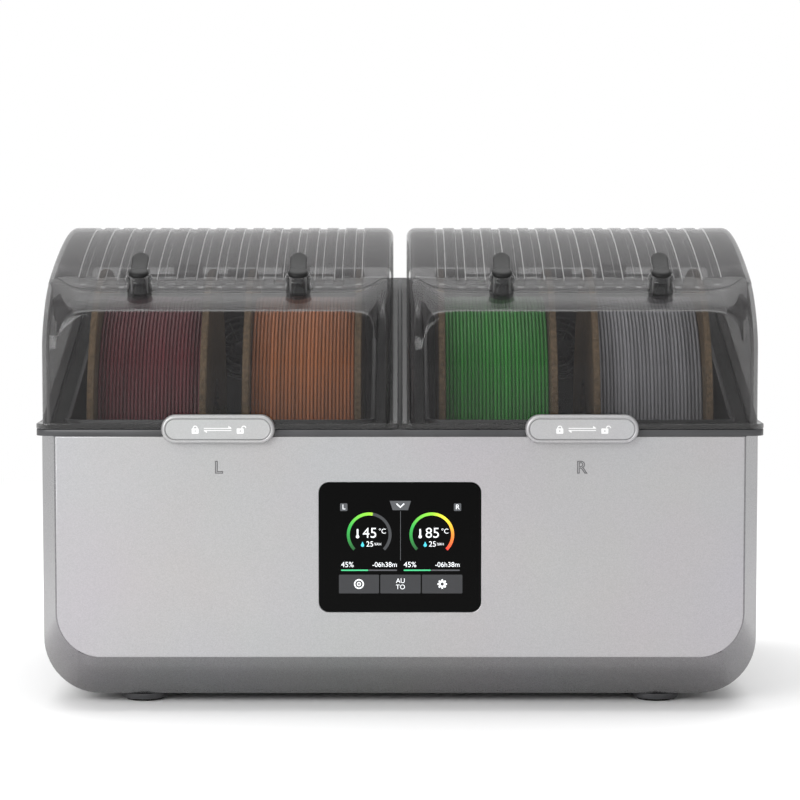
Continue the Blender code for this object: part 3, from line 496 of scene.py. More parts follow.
# steel turned or drawn along one axis, so its marks run round it or along it
def drawnSteel(name, colour, rough, stretch):
    material, nodes, links = startMaterial(name)
    marksFrame = nodes.new("NodeFrame")
    marksFrame.label = "tool marks"
    output = nodes.new("ShaderNodeOutputMaterial")
    output.label = "steel surface"
    shader = nodes.new("ShaderNodeBsdfPrincipled")
    shader.label = "bare steel"
    place = nodes.new("ShaderNodeTexCoord")
    place.label = "place on the part"
    pull = nodes.new("ShaderNodeMapping")
    pull.label = "marks drawn out"
    pull.parent = marksFrame
    marks = nodes.new("ShaderNodeTexNoise")
    marks.label = "fine scratches"
    marks.parent = marksFrame
    shades = nodes.new("ShaderNodeValToRGB")
    shades.label = "scratch colour"
    shades.parent = marksFrame
    shine = nodes.new("ShaderNodeMapRange")
    shine.label = "scratch gloss"
    shine.parent = marksFrame
    relief = nodes.new("ShaderNodeBump")
    relief.label = "scratch relief"
    pull.inputs["Scale"].default_value = stretch
    marks.inputs["Scale"].default_value = 220.0
    marks.inputs["Detail"].default_value = 4.0
    shades.color_ramp.elements[0].color = (*(c * 0.7 for c in colour), 1.0)
    shades.color_ramp.elements[1].color = (*(min(1.0, c * 1.2) for c in colour), 1.0)
    shine.inputs["To Min"].default_value = rough - 0.08
    shine.inputs["To Max"].default_value = rough + 0.12
    relief.inputs["Strength"].default_value = 0.15
    relief.inputs["Distance"].default_value = 0.0001
    shader.inputs["Metallic"].default_value = 1.0
    links.new(place.outputs["Object"], pull.inputs["Vector"])
    links.new(pull.outputs["Vector"], marks.inputs["Vector"])
    links.new(marks.outputs["Fac"], shades.inputs["Fac"])
    links.new(marks.outputs["Fac"], shine.inputs["Value"])
    links.new(marks.outputs["Fac"], relief.inputs["Height"])
    links.new(shades.outputs["Color"], shader.inputs["Base Color"])
    links.new(shine.outputs["Result"], shader.inputs["Roughness"])
    links.new(relief.outputs["Normal"], shader.inputs["Normal"])
    links.new(shader.outputs["BSDF"], output.inputs["Surface"])
    rows = [(place, -1500, 0), (pull, -1280, 0), (marks, -1050, 0), (shades, -800, 200),
            (shine, -800, -50), (relief, -800, -300), (shader, -450, 100), (output, -150, 100)]
    for node, x, y in rows:
        node.location = (x, y)
    return material


# pressed brown card: loose fibres on its faces and thin layers along its cut edge
def pressedCard(name, colour):
    material, nodes, links = startMaterial(name)
    fibreFrame = nodes.new("NodeFrame")
    fibreFrame.label = "card fibres"
    layerFrame = nodes.new("NodeFrame")
    layerFrame.label = "layers at the cut edge"
    output = nodes.new("ShaderNodeOutputMaterial")
    output.label = "card surface"
    shader = nodes.new("ShaderNodeBsdfPrincipled")
    shader.label = "brown card"
    place = nodes.new("ShaderNodeTexCoord")
    place.label = "place on the part"
    fibres = nodes.new("ShaderNodeTexNoise")
    fibres.label = "fibres"
    fibres.parent = fibreFrame
    fibreTone = nodes.new("ShaderNodeValToRGB")
    fibreTone.label = "dark and pale fibres"
    fibreTone.parent = fibreFrame
    layers = nodes.new("ShaderNodeTexWave")
    layers.label = "glued layers"
    layers.parent = layerFrame
    layerTone = nodes.new("ShaderNodeValToRGB")
    layerTone.label = "glue lines"
    layerTone.parent = layerFrame
    mixed = nodes.new("ShaderNodeMix")
    mixed.label = "glue lines over fibres"
    mixed.data_type = "RGBA"
    mixed.blend_type = "MULTIPLY"
    relief = nodes.new("ShaderNodeBump")
    relief.label = "fibre relief"
    relief.parent = fibreFrame
    fibres.inputs["Scale"].default_value = 420.0
    fibres.inputs["Detail"].default_value = 8.0
    fibreTone.color_ramp.elements[0].position = 0.3
    fibreTone.color_ramp.elements[0].color = (*(c * 0.6 for c in colour), 1.0)
    fibreTone.color_ramp.elements[1].position = 0.72
    fibreTone.color_ramp.elements[1].color = (*(c * 1.35 for c in colour), 1.0)
    layers.wave_type = "BANDS"
    layers.bands_direction = "X"
    layers.inputs["Scale"].default_value = 380.0
    layers.inputs["Distortion"].default_value = 3.0
    layers.inputs["Detail"].default_value = 3.0
    layerTone.color_ramp.elements[0].color = (0.55, 0.5, 0.45, 1.0)
    layerTone.color_ramp.elements[1].color = (1.0, 1.0, 1.0, 1.0)
    mixed.inputs["Factor"].default_value = 0.7
    relief.inputs["Strength"].default_value = 0.4
    relief.inputs["Distance"].default_value = 0.0003
    shader.inputs["Roughness"].default_value = 0.85
    shader.inputs["Specular IOR Level"].default_value = 0.25
    links.new(place.outputs["Object"], fibres.inputs["Vector"])
    links.new(place.outputs["Object"], layers.inputs["Vector"])
    links.new(fibres.outputs["Fac"], fibreTone.inputs["Fac"])
    links.new(layers.outputs["Fac"], layerTone.inputs["Fac"])
    links.new(fibreTone.outputs["Color"], mixed.inputs["A"])
    links.new(layerTone.outputs["Color"], mixed.inputs["B"])
    links.new(fibres.outputs["Fac"], relief.inputs["Height"])
    links.new(mixed.outputs["Result"], shader.inputs["Base Color"])
    links.new(relief.outputs["Normal"], shader.inputs["Normal"])
    links.new(shader.outputs["BSDF"], output.inputs["Surface"])
    rows = [(place, -1500, 0), (fibres, -1250, 200), (fibreTone, -1000, 250),
            (layers, -1250, -100), (layerTone, -1000, -100), (relief, -750, -250),
            (mixed, -700, 150), (shader, -400, 100), (output, -100, 100)]
    for node, x, y in rows:
        node.location = (x, y)
    return material


# wound filament: colour uneven from turn to turn, with painted shade in the creases between turns
def woundStrand(name, colour, rough):
    material, nodes, links = startMaterial(name)
    strandFrame = nodes.new("NodeFrame")
    strandFrame.label = "strand to strand"
    output = nodes.new("ShaderNodeOutputMaterial")
    output.label = "filament surface"
    shader = nodes.new("ShaderNodeBsdfPrincipled")
    shader.label = "extruded plastic"
    place = nodes.new("ShaderNodeTexCoord")
    place.label = "place on the part"
    squash = nodes.new("ShaderNodeMapping")
    squash.label = "long along the strand"
    squash.parent = strandFrame
    tone = nodes.new("ShaderNodeTexNoise")
    tone.label = "tone changes"
    tone.parent = strandFrame
    shades = nodes.new("ShaderNodeValToRGB")
    shades.label = "darker and lighter turns"
    shades.parent = strandFrame
    gloss = nodes.new("ShaderNodeMapRange")
    gloss.label = "gloss changes"
    gloss.parent = strandFrame
    squash.inputs["Scale"].default_value = (1.0, 0.02, 0.02)
    tone.inputs["Scale"].default_value = 300.0
    tone.inputs["Detail"].default_value = 3.0
    shades.color_ramp.elements[0].position = 0.3
    shades.color_ramp.elements[0].color = (*(c * 0.7 for c in colour), 1.0)
    shades.color_ramp.elements[1].position = 0.7
    shades.color_ramp.elements[1].color = (*(min(1.0, c * 1.2) for c in colour), 1.0)
    gloss.inputs["To Min"].default_value = rough - 0.08
    gloss.inputs["To Max"].default_value = rough + 0.10
    shader.inputs["Subsurface Weight"].default_value = 0.05
    shader.inputs["Subsurface Radius"].default_value = (0.002, 0.002, 0.002)
    shader.inputs["Specular IOR Level"].default_value = 0.3
    links.new(place.outputs["Object"], squash.inputs["Vector"])
    links.new(squash.outputs["Vector"], tone.inputs["Vector"])
    links.new(tone.outputs["Fac"], shades.inputs["Fac"])
    links.new(tone.outputs["Fac"], gloss.inputs["Value"])
    # painted shade: Pointiness darkens the base colour in the creases between turns
    creases = nodes.new("ShaderNodeNewGeometry")
    creases.label = "ridge or crease"
    creases.parent = strandFrame
    paintedCreaseShade = nodes.new("ShaderNodeMapRange")
    paintedCreaseShade.label = "painted shade between turns"
    paintedCreaseShade.parent = strandFrame
    paintedCreaseShade.inputs["From Min"].default_value = 0.42
    paintedCreaseShade.inputs["From Max"].default_value = 0.54
    paintedCreaseShade.inputs["To Min"].default_value = 0.25
    shaded = nodes.new("ShaderNodeMix")
    shaded.label = "shaded colour"
    shaded.data_type = "RGBA"
    shaded.inputs["A"].default_value = (0.0, 0.0, 0.0, 1.0)
    links.new(creases.outputs["Pointiness"], paintedCreaseShade.inputs["Value"])
    links.new(paintedCreaseShade.outputs["Result"], shaded.inputs["Factor"])
    links.new(shades.outputs["Color"], shaded.inputs["B"])
    links.new(shaded.outputs["Result"], shader.inputs["Base Color"])
    links.new(gloss.outputs["Result"], shader.inputs["Roughness"])
    links.new(shader.outputs["BSDF"], output.inputs["Surface"])
    rows = [(place, -1550, 0), (squash, -1300, 0), (tone, -1050, 0), (shades, -800, 150),
            (gloss, -550, -100), (creases, -1050, 350), (paintedCreaseShade, -800, 400),
            (shaded, -550, 250), (shader, -250, 50), (output, 50, 50)]
    for node, x, y in rows:
        node.location = (x, y)
    return material


# polished surfaces with a trace of smudging: cover glass, printed marks, lit screen shapes
def smoothFinish(name, colour, rough, glow=0.0, shine=0.5):
    material, nodes, links = startMaterial(name)
    smudgeFrame = nodes.new("NodeFrame")
    smudgeFrame.label = "finger smudges"
    output = nodes.new("ShaderNodeOutputMaterial")
    output.label = "smooth surface"
    shader = nodes.new("ShaderNodeBsdfPrincipled")
    shader.label = "smooth finish"
    place = nodes.new("ShaderNodeTexCoord")
    place.label = "place on the part"
    smudge = nodes.new("ShaderNodeTexNoise")
    smudge.label = "smudges"
    smudge.parent = smudgeFrame
    gloss = nodes.new("ShaderNodeMapRange")
    gloss.label = "smudged gloss"
    gloss.parent = smudgeFrame
    shades = nodes.new("ShaderNodeValToRGB")
    shades.label = "faint tone"
    shades.parent = smudgeFrame
    smudge.inputs["Scale"].default_value = 45.0
    smudge.inputs["Detail"].default_value = 4.0
    gloss.inputs["To Min"].default_value = rough
    gloss.inputs["To Max"].default_value = rough + 0.06
    shades.color_ramp.elements[0].color = (*(c * 0.94 for c in colour), 1.0)
    shades.color_ramp.elements[1].color = (*(min(1.0, c * 1.06) for c in colour), 1.0)
    shader.inputs["Specular IOR Level"].default_value = shine
    shader.inputs["Emission Color"].default_value = (*colour, 1.0)
    shader.inputs["Emission Strength"].default_value = glow
    links.new(place.outputs["Object"], smudge.inputs["Vector"])
    links.new(smudge.outputs["Fac"], gloss.inputs["Value"])
    links.new(smudge.outputs["Fac"], shades.inputs["Fac"])
    links.new(shades.outputs["Color"], shader.inputs["Base Color"])
    links.new(gloss.outputs["Result"], shader.inputs["Roughness"])
    links.new(shader.outputs["BSDF"], output.inputs["Surface"])
    rows = [(place, -1050, 0), (smudge, -800, 0), (gloss, -550, -100), (shades, -550, 150),
            (shader, -250, 50), (output, 50, 50)]
    for node, x, y in rows:
        node.location = (x, y)
    return material


# circuit board lacquer over faint copper tracks
def boardLacquer(name):
    material, nodes, links = startMaterial(name)
    trackFrame = nodes.new("NodeFrame")
    trackFrame.label = "tracks under lacquer"
    output = nodes.new("ShaderNodeOutputMaterial")
    output.label = "board surface"
    shader = nodes.new("ShaderNodeBsdfPrincipled")
    shader.label = "green lacquer"
    place = nodes.new("ShaderNodeTexCoord")
    place.label = "place on the part"
    tracks = nodes.new("ShaderNodeTexBrick")
    tracks.label = "copper tracks"
    tracks.parent = trackFrame
    relief = nodes.new("ShaderNodeBump")
    relief.label = "track relief"
    relief.parent = trackFrame
    tracks.inputs["Color1"].default_value = (0.010, 0.085, 0.035, 1.0)
    tracks.inputs["Color2"].default_value = (0.014, 0.110, 0.045, 1.0)
    tracks.inputs["Mortar"].default_value = (0.030, 0.190, 0.080, 1.0)
    tracks.inputs["Scale"].default_value = 160.0
    relief.inputs["Strength"].default_value = 0.2
    relief.inputs["Distance"].default_value = 0.0001
    shader.inputs["Roughness"].default_value = 0.3
    links.new(place.outputs["Object"], tracks.inputs["Vector"])
    links.new(tracks.outputs["Color"], shader.inputs["Base Color"])
    links.new(tracks.outputs["Fac"], relief.inputs["Height"])
    links.new(relief.outputs["Normal"], shader.inputs["Normal"])
    links.new(shader.outputs["BSDF"], output.inputs["Surface"])
    rows = [(place, -1050, 0), (tracks, -800, 100), (relief, -550, -150), (shader, -300, 50),
            (output, 0, 50)]
    for node, x, y in rows:
        node.location = (x, y)
    return material


paint = {
    "silver": flakePaint("silverPaint", (0.43, 0.425, 0.435), 0.07, 0.60, 0.38),
    "casing": flakePaint("casingPaint", (0.230, 0.228, 0.233), 0.10, 0.92, 0.26),
    "latch": flakePaint("latchPaint", (0.46, 0.46, 0.47), 0.05, 0.50, 0.36),
}
plastic = {
    "rim": mouldedPlastic("rimPlastic", (0.045, 0.045, 0.048), 0.38, 0.0005, 0.00006),
    "tub": mouldedPlastic("tubPlastic", (0.012, 0.012, 0.013), 0.42, 0.0007, 0.00010),
    "fitting": mouldedPlastic("fittingPlastic", (0.020, 0.020, 0.021), 0.34, 0.0006, 0.00006),
    "fan": mouldedPlastic("fanPlastic", (0.030, 0.030, 0.032), 0.40, 0.0008, 0.00005),
}
# the second colour of each smoked finish is its painted sheen at a glance
clear = {
    "lid": smokedClear("smokedLid", (0.022, 0.020, 0.021), (0.27, 0.265, 0.27), 0.88, 0.01),
    "flange": smokedClear("smokedFlange", (0.020, 0.019, 0.019), (0.30, 0.30, 0.30), 0.60, 0.06),
}
rubber = {
    "plug": softRubber("plugRubber", (0.003, 0.003, 0.003), 0.42),
    "roller": softRubber("rollerRubber", (0.016, 0.016, 0.016), 0.60),
    "seal": softRubber("sealRubber", (0.018, 0.018, 0.018), 0.70),
    "foot": softRubber("footRubber", (0.010, 0.010, 0.010), 0.75),
}
steel = {
    "axle": drawnSteel("axleSteel", (0.56, 0.56, 0.57), 0.28, (0.1, 1.0, 1.0)),
    "fins": drawnSteel("finAluminium", (0.62, 0.62, 0.63), 0.42, (1.0, 0.1, 1.0)),
    "screw": drawnSteel("screwSteel", (0.42, 0.42, 0.43), 0.34, (1.0, 1.0, 1.0)),
}
card = pressedCard("brownCard", (0.150, 0.105, 0.062))
board = boardLacquer("greenLacquer")
print("materials made")


studio = {
    "distance": 1.6,          # from the front face to the camera
    "eyeHeight": 0.306,
    "lookDown": 4.157,        # degrees
    "lens": 120.1,
    "floorSize": 12.0,
    "floorColour": (0.93, 0.93, 0.93),
    "fadeStart": 0.45,        # metres from the middle of the object
    "fadeEnd": 1.3,
    "skyLight": 0.82,
}


def makeCamera():
    lens = bpy.data.cameras.new("studioCamera")
    lens.lens = studio["lens"]
    lens.sensor_width = 36.0
    lens.clip_end = 30.0
    camera = bpy.data.objects.new("studioCamera", lens)
    camera.location = (0.0, frontFace - studio["distance"], studio["eyeHeight"])
    camera.rotation_euler = (radians(90.0 - studio["lookDown"]), 0.0, 0.0)
    scene.collection.objects.link(camera)
    scene.camera = camera


def makeFloor():
    material, nodes, links = startMaterial("paleFloor")
    output = nodes.new("ShaderNodeOutputMaterial")
    output.label = "floor surface"
    shader = nodes.new("ShaderNodeBsdfPrincipled")
    shader.label = "matt white"
    place = nodes.new("ShaderNodeTexCoord")
    place.label = "place on the floor"
    grain = nodes.new("ShaderNodeTexNoise")
    grain.label = "paper grain"
    shades = nodes.new("ShaderNodeValToRGB")
    shades.label = "barely uneven white"
    grain.inputs["Scale"].default_value = 3.0
    bright = studio["floorColour"]
    shades.color_ramp.elements[0].color = (*(c * 0.99 for c in bright), 1.0)
    shades.color_ramp.elements[1].color = (*bright, 1.0)
    shader.inputs["Roughness"].default_value = 0.7
    links.new(place.outputs["Object"], grain.inputs["Vector"])
    farness = nodes.new("ShaderNodeVectorMath")
    farness.label = "distance from the object"
    farness.operation = "LENGTH"
    fade = nodes.new("ShaderNodeMapRange")
    fade.label = "fades into the backdrop"
    fade.inputs["From Min"].default_value = studio["fadeStart"]
    fade.inputs["From Max"].default_value = studio["fadeEnd"]
    backdrop = nodes.new("ShaderNodeEmission")
    backdrop.label = "white backdrop"
    blend = nodes.new("ShaderNodeMixShader")
    blend.label = "floor into backdrop"
    links.new(place.outputs["Object"], farness.inputs[0])
    links.new(farness.outputs["Value"], fade.inputs["Value"])
    links.new(fade.outputs["Result"], blend.inputs["Fac"])
    links.new(grain.outputs["Fac"], shades.inputs["Fac"])
    links.new(shades.outputs["Color"], shader.inputs["Base Color"])
    links.new(shader.outputs["BSDF"], blend.inputs[1])
    links.new(backdrop.outputs["Emission"], blend.inputs[2])
    links.new(blend.outputs["Shader"], output.inputs["Surface"])
    for column, node in enumerate((place, grain, shades, shader, blend, output)):
        node.location = (column * 250 - 1000, 0)
    for column, node in enumerate((farness, fade, backdrop)):
        node.location = (column * 250 - 750, 300)
    half = studio["floorSize"] / 2
    floor = newPiece("floor", [(-half, -half, 0), (half, -half, 0), (half, half, 0),
                               (-half, half, 0)], [(0, 1, 2, 3)])
    floor.data.materials.append(material)


def makeSky():
    # plain white where it is seen, a little dimmer where it only lights the object
    world = bpy.data.worlds.new("studioSky")
    world.use_nodes = True
    scene.world = world
    nodes, links = world.node_tree.nodes, world.node_tree.links
    nodes.clear()
    output = nodes.new("ShaderNodeOutputWorld")
    output.label = "studio surround"
    sky = nodes.new("ShaderNodeBackground")
    sky.label = "white paper"
    sky.inputs["Color"].default_value = (1.0, 1.0, 1.0, 1.0)
    ray = nodes.new("ShaderNodeLightPath")
    ray.label = "seen or only lighting"
    level = nodes.new("ShaderNodeMapRange")
    level.label = "brightness"
    level.inputs["To Min"].default_value = studio["skyLight"]
    level.inputs["To Max"].default_value = 1.0
    links.new(ray.outputs["Is Camera Ray"], level.inputs["Value"])
    links.new(level.outputs["Result"], sky.inputs["Strength"])
    links.new(sky.outputs["Background"], output.inputs["Surface"])
    for column, node in enumerate((ray, level, sky, output)):
        node.location = (column * 250 - 600, 0)


def makeLamp(name, place, target, size, power):
    lamp = bpy.data.lights.new(name, "AREA")
    lamp.shape = "RECTANGLE"
    lamp.size, lamp.size_y = size
    lamp.energy = power
    holder = bpy.data.objects.new(name, lamp)
    holder.location = place
    aim = Vector(target) - Vector(place)
    holder.rotation_euler = aim.to_track_quat("-Z", "Y").to_euler()
    scene.collection.objects.link(holder)


makeCamera()
makeFloor()
makeSky()
makeLamp("keyLamp", (-0.95, -1.30, 0.75), (-0.12, 0.0, 0.16), (1.0, 0.8), 15.0)
makeLamp("topLamp", (0.0, 0.3, 1.7), (0.0, 0.0, 0.2), (2.0, 1.6), 22.0)
scene.view_settings.view_transform = "Standard"
print("studio ready")


casing = {
    "sideArc": 14,            # points round each bottom corner
    "creaseRounding": 0.0022,
    "lipRounding": 0.0007,
    "panelThickness": 0.003,
    "panelEdge": 0.0006,
    "wall": 0.0025,
    "cornerRadius": 0.035,
    "frontEdge": (0.2087, 0.0323, 0.0282),   # half width, bottom and corner radius at the front
    "rimDrop": 0.0040,        # the casing stops this far under the joint
}

low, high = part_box("outer_casing")
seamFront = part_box("front_panel")[1].z + 0.004       # height of the joint under the lids
seamBend = frontFace + 0.034                         # level up to here, then it climbs
seamSlope = 0.3415
latchX = 0.1093                                      # from the middle to a latch and its letter


def seamAt(y):
    return seamFront + max(0.0, y - seamBend) * seamSlope


def roundFooted(half, foot, radius, steps):
    # left side, round corner, foot, round corner, right side, without the ends of the sides
    corners = arcPoints((radius - half, foot + radius), radius, 180, 270, steps)
    return corners + arcPoints((half - radius, foot + radius), radius, 270, 360, steps)


def casingSection(y, half, bottom, radius, wall, top):
    # side, round corner, bottom, round corner, side: once outside and back inside
    steps = casing["sideArc"]
    outside = [(-half, top)] + roundFooted(half, bottom, radius, steps) + [(half, top)]
    half, bottom, radius = half - wall, bottom + wall, radius - wall
    inside = [(-half, top)] + roundFooted(half, bottom, radius, steps) + [(half, top)]
    return [(x, y, z) for x, z in outside + inside[::-1]]


def makeCasing():
    # narrow and high at the front edge, full size from the bend to the back
    half, radius = high.x, casing["cornerRadius"]
    sections = [(low.y, *casing["frontEdge"]), (seamBend, half, low.z, radius),
                (high.y, half, low.z, radius)]
    rings = [casingSection(y, half, bottom, radius, casing["wall"], seamAt(y) - casing["rimDrop"])
             for y, half, bottom, radius in sections]
    shell = faceOutwards(loft("casingShell", rings))
    shape = bmesh.new()
    shape.from_mesh(shell.data)
    crease = shape.edges.layers.float.new("bevel_weight_edge")
    for edge in shape.edges:
        a, b = (v.co for v in edge.verts)
        atBend = abs(a.y - seamBend) < 0.00001 and abs(b.y - seamBend) < 0.00001
        if atBend:
            edge[crease] = 1.0
        elif edge.calc_face_angle(0.0) > radians(50):
            edge[crease] = casing["lipRounding"] / casing["creaseRounding"]
    shape.to_mesh(shell.data)
    shape.free()
    soften = shell.modifiers.new("creases", "BEVEL")
    soften.limit_method = "WEIGHT"
    soften.width = casing["creaseRounding"]
    soften.segments = 4
    soften.harden_normals = True
    shell.data.shade_smooth()
    dress(shell, paint["casing"], "base", "casing_grey", "outer_casing")


def makeFrontPanel():
    low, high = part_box("front_panel")
    glassLow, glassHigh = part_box("display_glass")
    half, radius = high.x, 0.027
    outline = [(half, high.z), (-half, high.z)] + roundFooted(half, low.z, radius, 16)
    window = roundedOutline(glassHigh.x - glassLow.x + 0.0006, glassHigh.z - glassLow.z + 0.0006,
                            0.0063, (0.0, (glassLow.z + glassHigh.z) / 2), 8)
    cuts = []
    for side in sides:
        tongueLow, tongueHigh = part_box(f"latch_body_{side}")
        middle = (tongueLow.x + tongueHigh.x) / 2
        cuts.append((middle - 0.013, middle + 0.006, 0.16395))
    top = [outline[0]]
    for left, right, floor in sorted(cuts, reverse=True):
        top += [(right, high.z), (right, floor), (left, floor), (left, high.z)]
    outline = top + outline[1:]
    panel = flatShape("frontPlate", [outline, window], casing["panelThickness"],
                      casing["panelEdge"])
    settle(panel, standUp(frontFace + casing["panelThickness"] / 2))
    evenShade(panel, 50)
    dress(panel, paint["silver"], "base", "panel_silver", "front_panel")


rearShape = {
    "corner": 0.0322,
    "inletHole": (0.0606, 0.0256),
    "inletPlace": (-0.150, 0.060),
    "slots": 6,               # air slots behind each chamber
    "slotSize": (0.003, 0.034),
    "slotPitch": 0.008,
    "slotX": 0.110,           # middle of a group of slots, and of the fan behind it
    "slotHeight": 0.2076,
}


def makeRearCover():
    low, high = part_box("rear_cover")
    half, radius = high.x, rearShape["corner"]
    outline = [(half, high.z), (-half, high.z)] + roundFooted(half, low.z, radius, 16)
    holes = [roundedOutline(*rearShape["inletHole"], 0.0004, rearShape["inletPlace"], 2)]
    for sign in sides.values():
        for step in range(rearShape["slots"]):
            shift = (step - (rearShape["slots"] - 1) / 2) * rearShape["slotPitch"]
            middle = (sign * rearShape["slotX"] + shift, rearShape["slotHeight"])
            holes.append(roundedOutline(*rearShape["slotSize"], 0.00149, middle, 6))
    cover = flatShape("rearCover", [outline] + holes, high.y - low.y, 0.0003)
    settle(cover, standUp((low.y + high.y) / 2))
    evenShade(cover, 50)
    dress(cover, paint["casing"], "base", "casing_grey", "rear_cover")


letterShape = {"size": 0.0105, "height": 0.1487, "bead": 0.00028}


# an outlined letter sunk into the panel, built as a thin dark bead whose colour is painted shade of
# the engraved groove
def makeChamberLetter(name, text, x, z):
    curve = bpy.data.curves.new(name, "FONT")
    curve.body = text
    curve.size = letterShape["size"]
    curve.align_x = "CENTER"
    curve.align_y = "CENTER"
    curve.fill_mode = "NONE"
    curve.bevel_depth = letterShape["bead"]
    curve.bevel_resolution = 2
    letter = bpy.data.objects.new(name, curve)
    scene.collection.objects.link(letter)
    letter = faceOutwards(applyStack(letter))
    settle(letter, Matrix.Translation((x, 0.0, z)) @ standUp(frontFace - 0.00006))
    dress(letter, mark["grooveShade"], "base", "panel_silver")


mark = {
    # dark colour painted as the shade inside the engraved letter grooves
    "grooveShade": smoothFinish("engravedGrooveShade", (0.11, 0.11, 0.115), 0.45),
    "white": smoothFinish("printedWhite", (0.80, 0.80, 0.80), 0.40),
}

makeCasing()
makeFrontPanel()
for side, sign in sides.items():
    makeChamberLetter(f"letter_{side}", side[0].upper(), sign * latchX, letterShape["height"])

rim = cadCopy("rim", "rimFrame", 0.0005, 2)
dress(rim, plastic["rim"], "base", "rim_dark", "rim")
makeRearCover()
print("casing made")


lidShape = {
    "centre": 0.1104,         # from the middle of the box to the middle of a lid
    "half": 0.1061,
    "wall": 0.0025,
    "paneTop": 0.2395,        # the flat window ends here and curls back to the shoulder
    "shoulder": (0.0250, 0.2545),
    "crest": (0.155, 0.2913),
    "backShoulder": (0.260, 0.267),
    "foot": (0.2674, 0.258),
    "cornerDrop": 0.021,      # rounding of the window's upper corners
    "cornerBack": 0.016,      # rounding of the top's front corners, seen from above
    "cornerStart": 0.0763,
    "grooves": 15,
    "groovePitch": 0.0121,
    "grooveWidth": 0.0052,
    "grooveDepth": 0.0008,
    "grooveFront": 0.0355,    # depth behind the front face where the grooves begin
    "grooveBack": 0.236,
    "columnEdges": (0.0915, 0.0935, 0.0952, 0.0963),    # between the last groove and the bend
    "edgeStart": 0.0973,      # the top turns down into the side wall from here
    "edgeRadius": 0.0088,
    "edgeRadiusBack": 0.0058,
    "flangeHalf": 0.1094,
    "flangeHeight": 0.0033,
}
portShape = {"x": 0.0484, "foot": (0.027, 0.2565), "tilt": radians(25), "radius": 0.0073,
             "bore": 0.0053, "height": 0.009}


def bezier(a, b, c, d, steps):
    points = []
    for i in range(steps + 1):
        t = i / steps
        u = 1 - t
        points.append(tuple(u ** 3 * a[k] + 3 * u * u * t * b[k] + 3 * u * t * t * c[k]
                            + t ** 3 * d[k] for k in (0, 1)))
    return points


def crownLine():
    # depth and height over the top, from the shoulder to the foot of the back
    shoulder, crest = lidShape["shoulder"], lidShape["crest"]
    back, foot = lidShape["backShoulder"], lidShape["foot"]
    line = bezier(shoulder, (0.055, 0.271), (0.125, crest[1]), crest, 40)
    line += bezier(crest, (0.192, crest[1]), (0.232, 0.281), back, 34)[1:]
    return line + bezier(back, (0.2645, 0.2647), (foot[0], foot[1] + 0.004), foot, 8)[1:]


def measured(line):
    lengths = [0.0]
    for a, b in zip(line, line[1:]):
        lengths.append(lengths[-1] + sqrt((b[0] - a[0]) ** 2 + (b[1] - a[1]) ** 2))
    return lengths


def pointAlong(line, lengths, distance):
    i = 0
    while i < len(line) - 2 and lengths[i + 1] < distance:
        i += 1
    share = (distance - lengths[i]) / (lengths[i + 1] - lengths[i])
    return tuple(line[i][k] + share * (line[i + 1][k] - line[i][k]) for k in (0, 1))


def cornerShift(x, radius):
    over = min(max(0.0, abs(x) - lidShape["cornerStart"]), lidShape["cornerDrop"])
    share = over / lidShape["cornerDrop"]
    return radius * (1 - sqrt(max(0.0, 1 - share * share)))


def grooveDepthAt(x, depth):
    # 0 on the ribs, full inside a groove, with round ends and sloping sides
    pitch, half = lidShape["groovePitch"], lidShape["grooveWidth"] / 2
    number = round(x / pitch)
    if abs(number) > lidShape["grooves"] // 2:
        return 0.0
    across = abs(x - number * pitch)
    past = min(depth - lidShape["grooveFront"], lidShape["grooveBack"] - depth)
    if abs(number) == lidShape["grooves"] // 2:
        past -= 0.004
    if past < half:
        across = sqrt(across ** 2 + (half - past) ** 2)
    slope = min(max(0.0, (half - across) / 0.0005), 1.0)
    return lidShape["grooveDepth"] * slope


def columnProfile(x, crown, lengths, seam):
    # the outside line of the lid at one X, as (depth, height) points
    start = lidShape["shoulder"]
    drop = cornerShift(x, lidShape["cornerDrop"])
    back = cornerShift(x, lidShape["cornerBack"])
    front = 0.003
    top = (front, lidShape["paneTop"] - drop)
    meets = pointAlong(crown, lengths, back)
    ahead = pointAlong(crown, lengths, back + 0.004)
    along = Vector((ahead[0] - meets[0], ahead[1] - meets[1])).normalized()
    size = (Vector(meets) - Vector(top)).length / (Vector(start) - Vector(
        (front, lidShape["paneTop"]))).length
    curl = bezier(top, (front, top[1] + 0.0075 * size),
                  (meets[0] - along.x * 0.009 * size, meets[1] - along.y * 0.009 * size), meets, 12)
    line = [(front, seam(front)), (front, seam(front) + 0.02), (front, 0.205)] + curl
    total = lengths[-1]
    marks = [0.0010, 0.0014, 0.004, 0.007] + [0.0100 + 0.0005 * i for i in range(18)]
    marks += [0.0195 + 0.0045 * i for i in range(44)]
    marks += [0.2155 + 0.0008 * i for i in range(9)] + [0.226, 0.230, 0.234]
    marks = [m for m in marks if m < total - 0.018]
    for mark in marks:
        fade = (1 - mark / total) ** 3
        depth, height = pointAlong(crown, lengths, mark + back * fade)
        if mark > 0.0012:
            height += 0.0004              # the ribbed top stands just proud of its shoulder
        line.append((depth, height))
    tail = [total - 0.018 * (1 - i / 9) for i in range(10)]
    line += [pointAlong(crown, lengths, mark) for mark in tail]
    foot = lidShape["foot"][0]
    return line + [(foot, (lidShape["foot"][1] + seam(foot)) / 2), (foot, seam(foot))]


def sunkProfile(x, line):
    sunk = []
    for i, (depth, height) in enumerate(line):
        before, after = line[max(i - 1, 0)], line[min(i + 1, len(line) - 1)]
        along = Vector((after[0] - before[0], after[1] - before[1]))
        along = along.normalized() if along.length > 0 else Vector((0.0, 1.0))
        depthIn = grooveDepthAt(x, depth)
        sunk.append((depth + along.y * depthIn, height - along.x * depthIn))
    return sunk


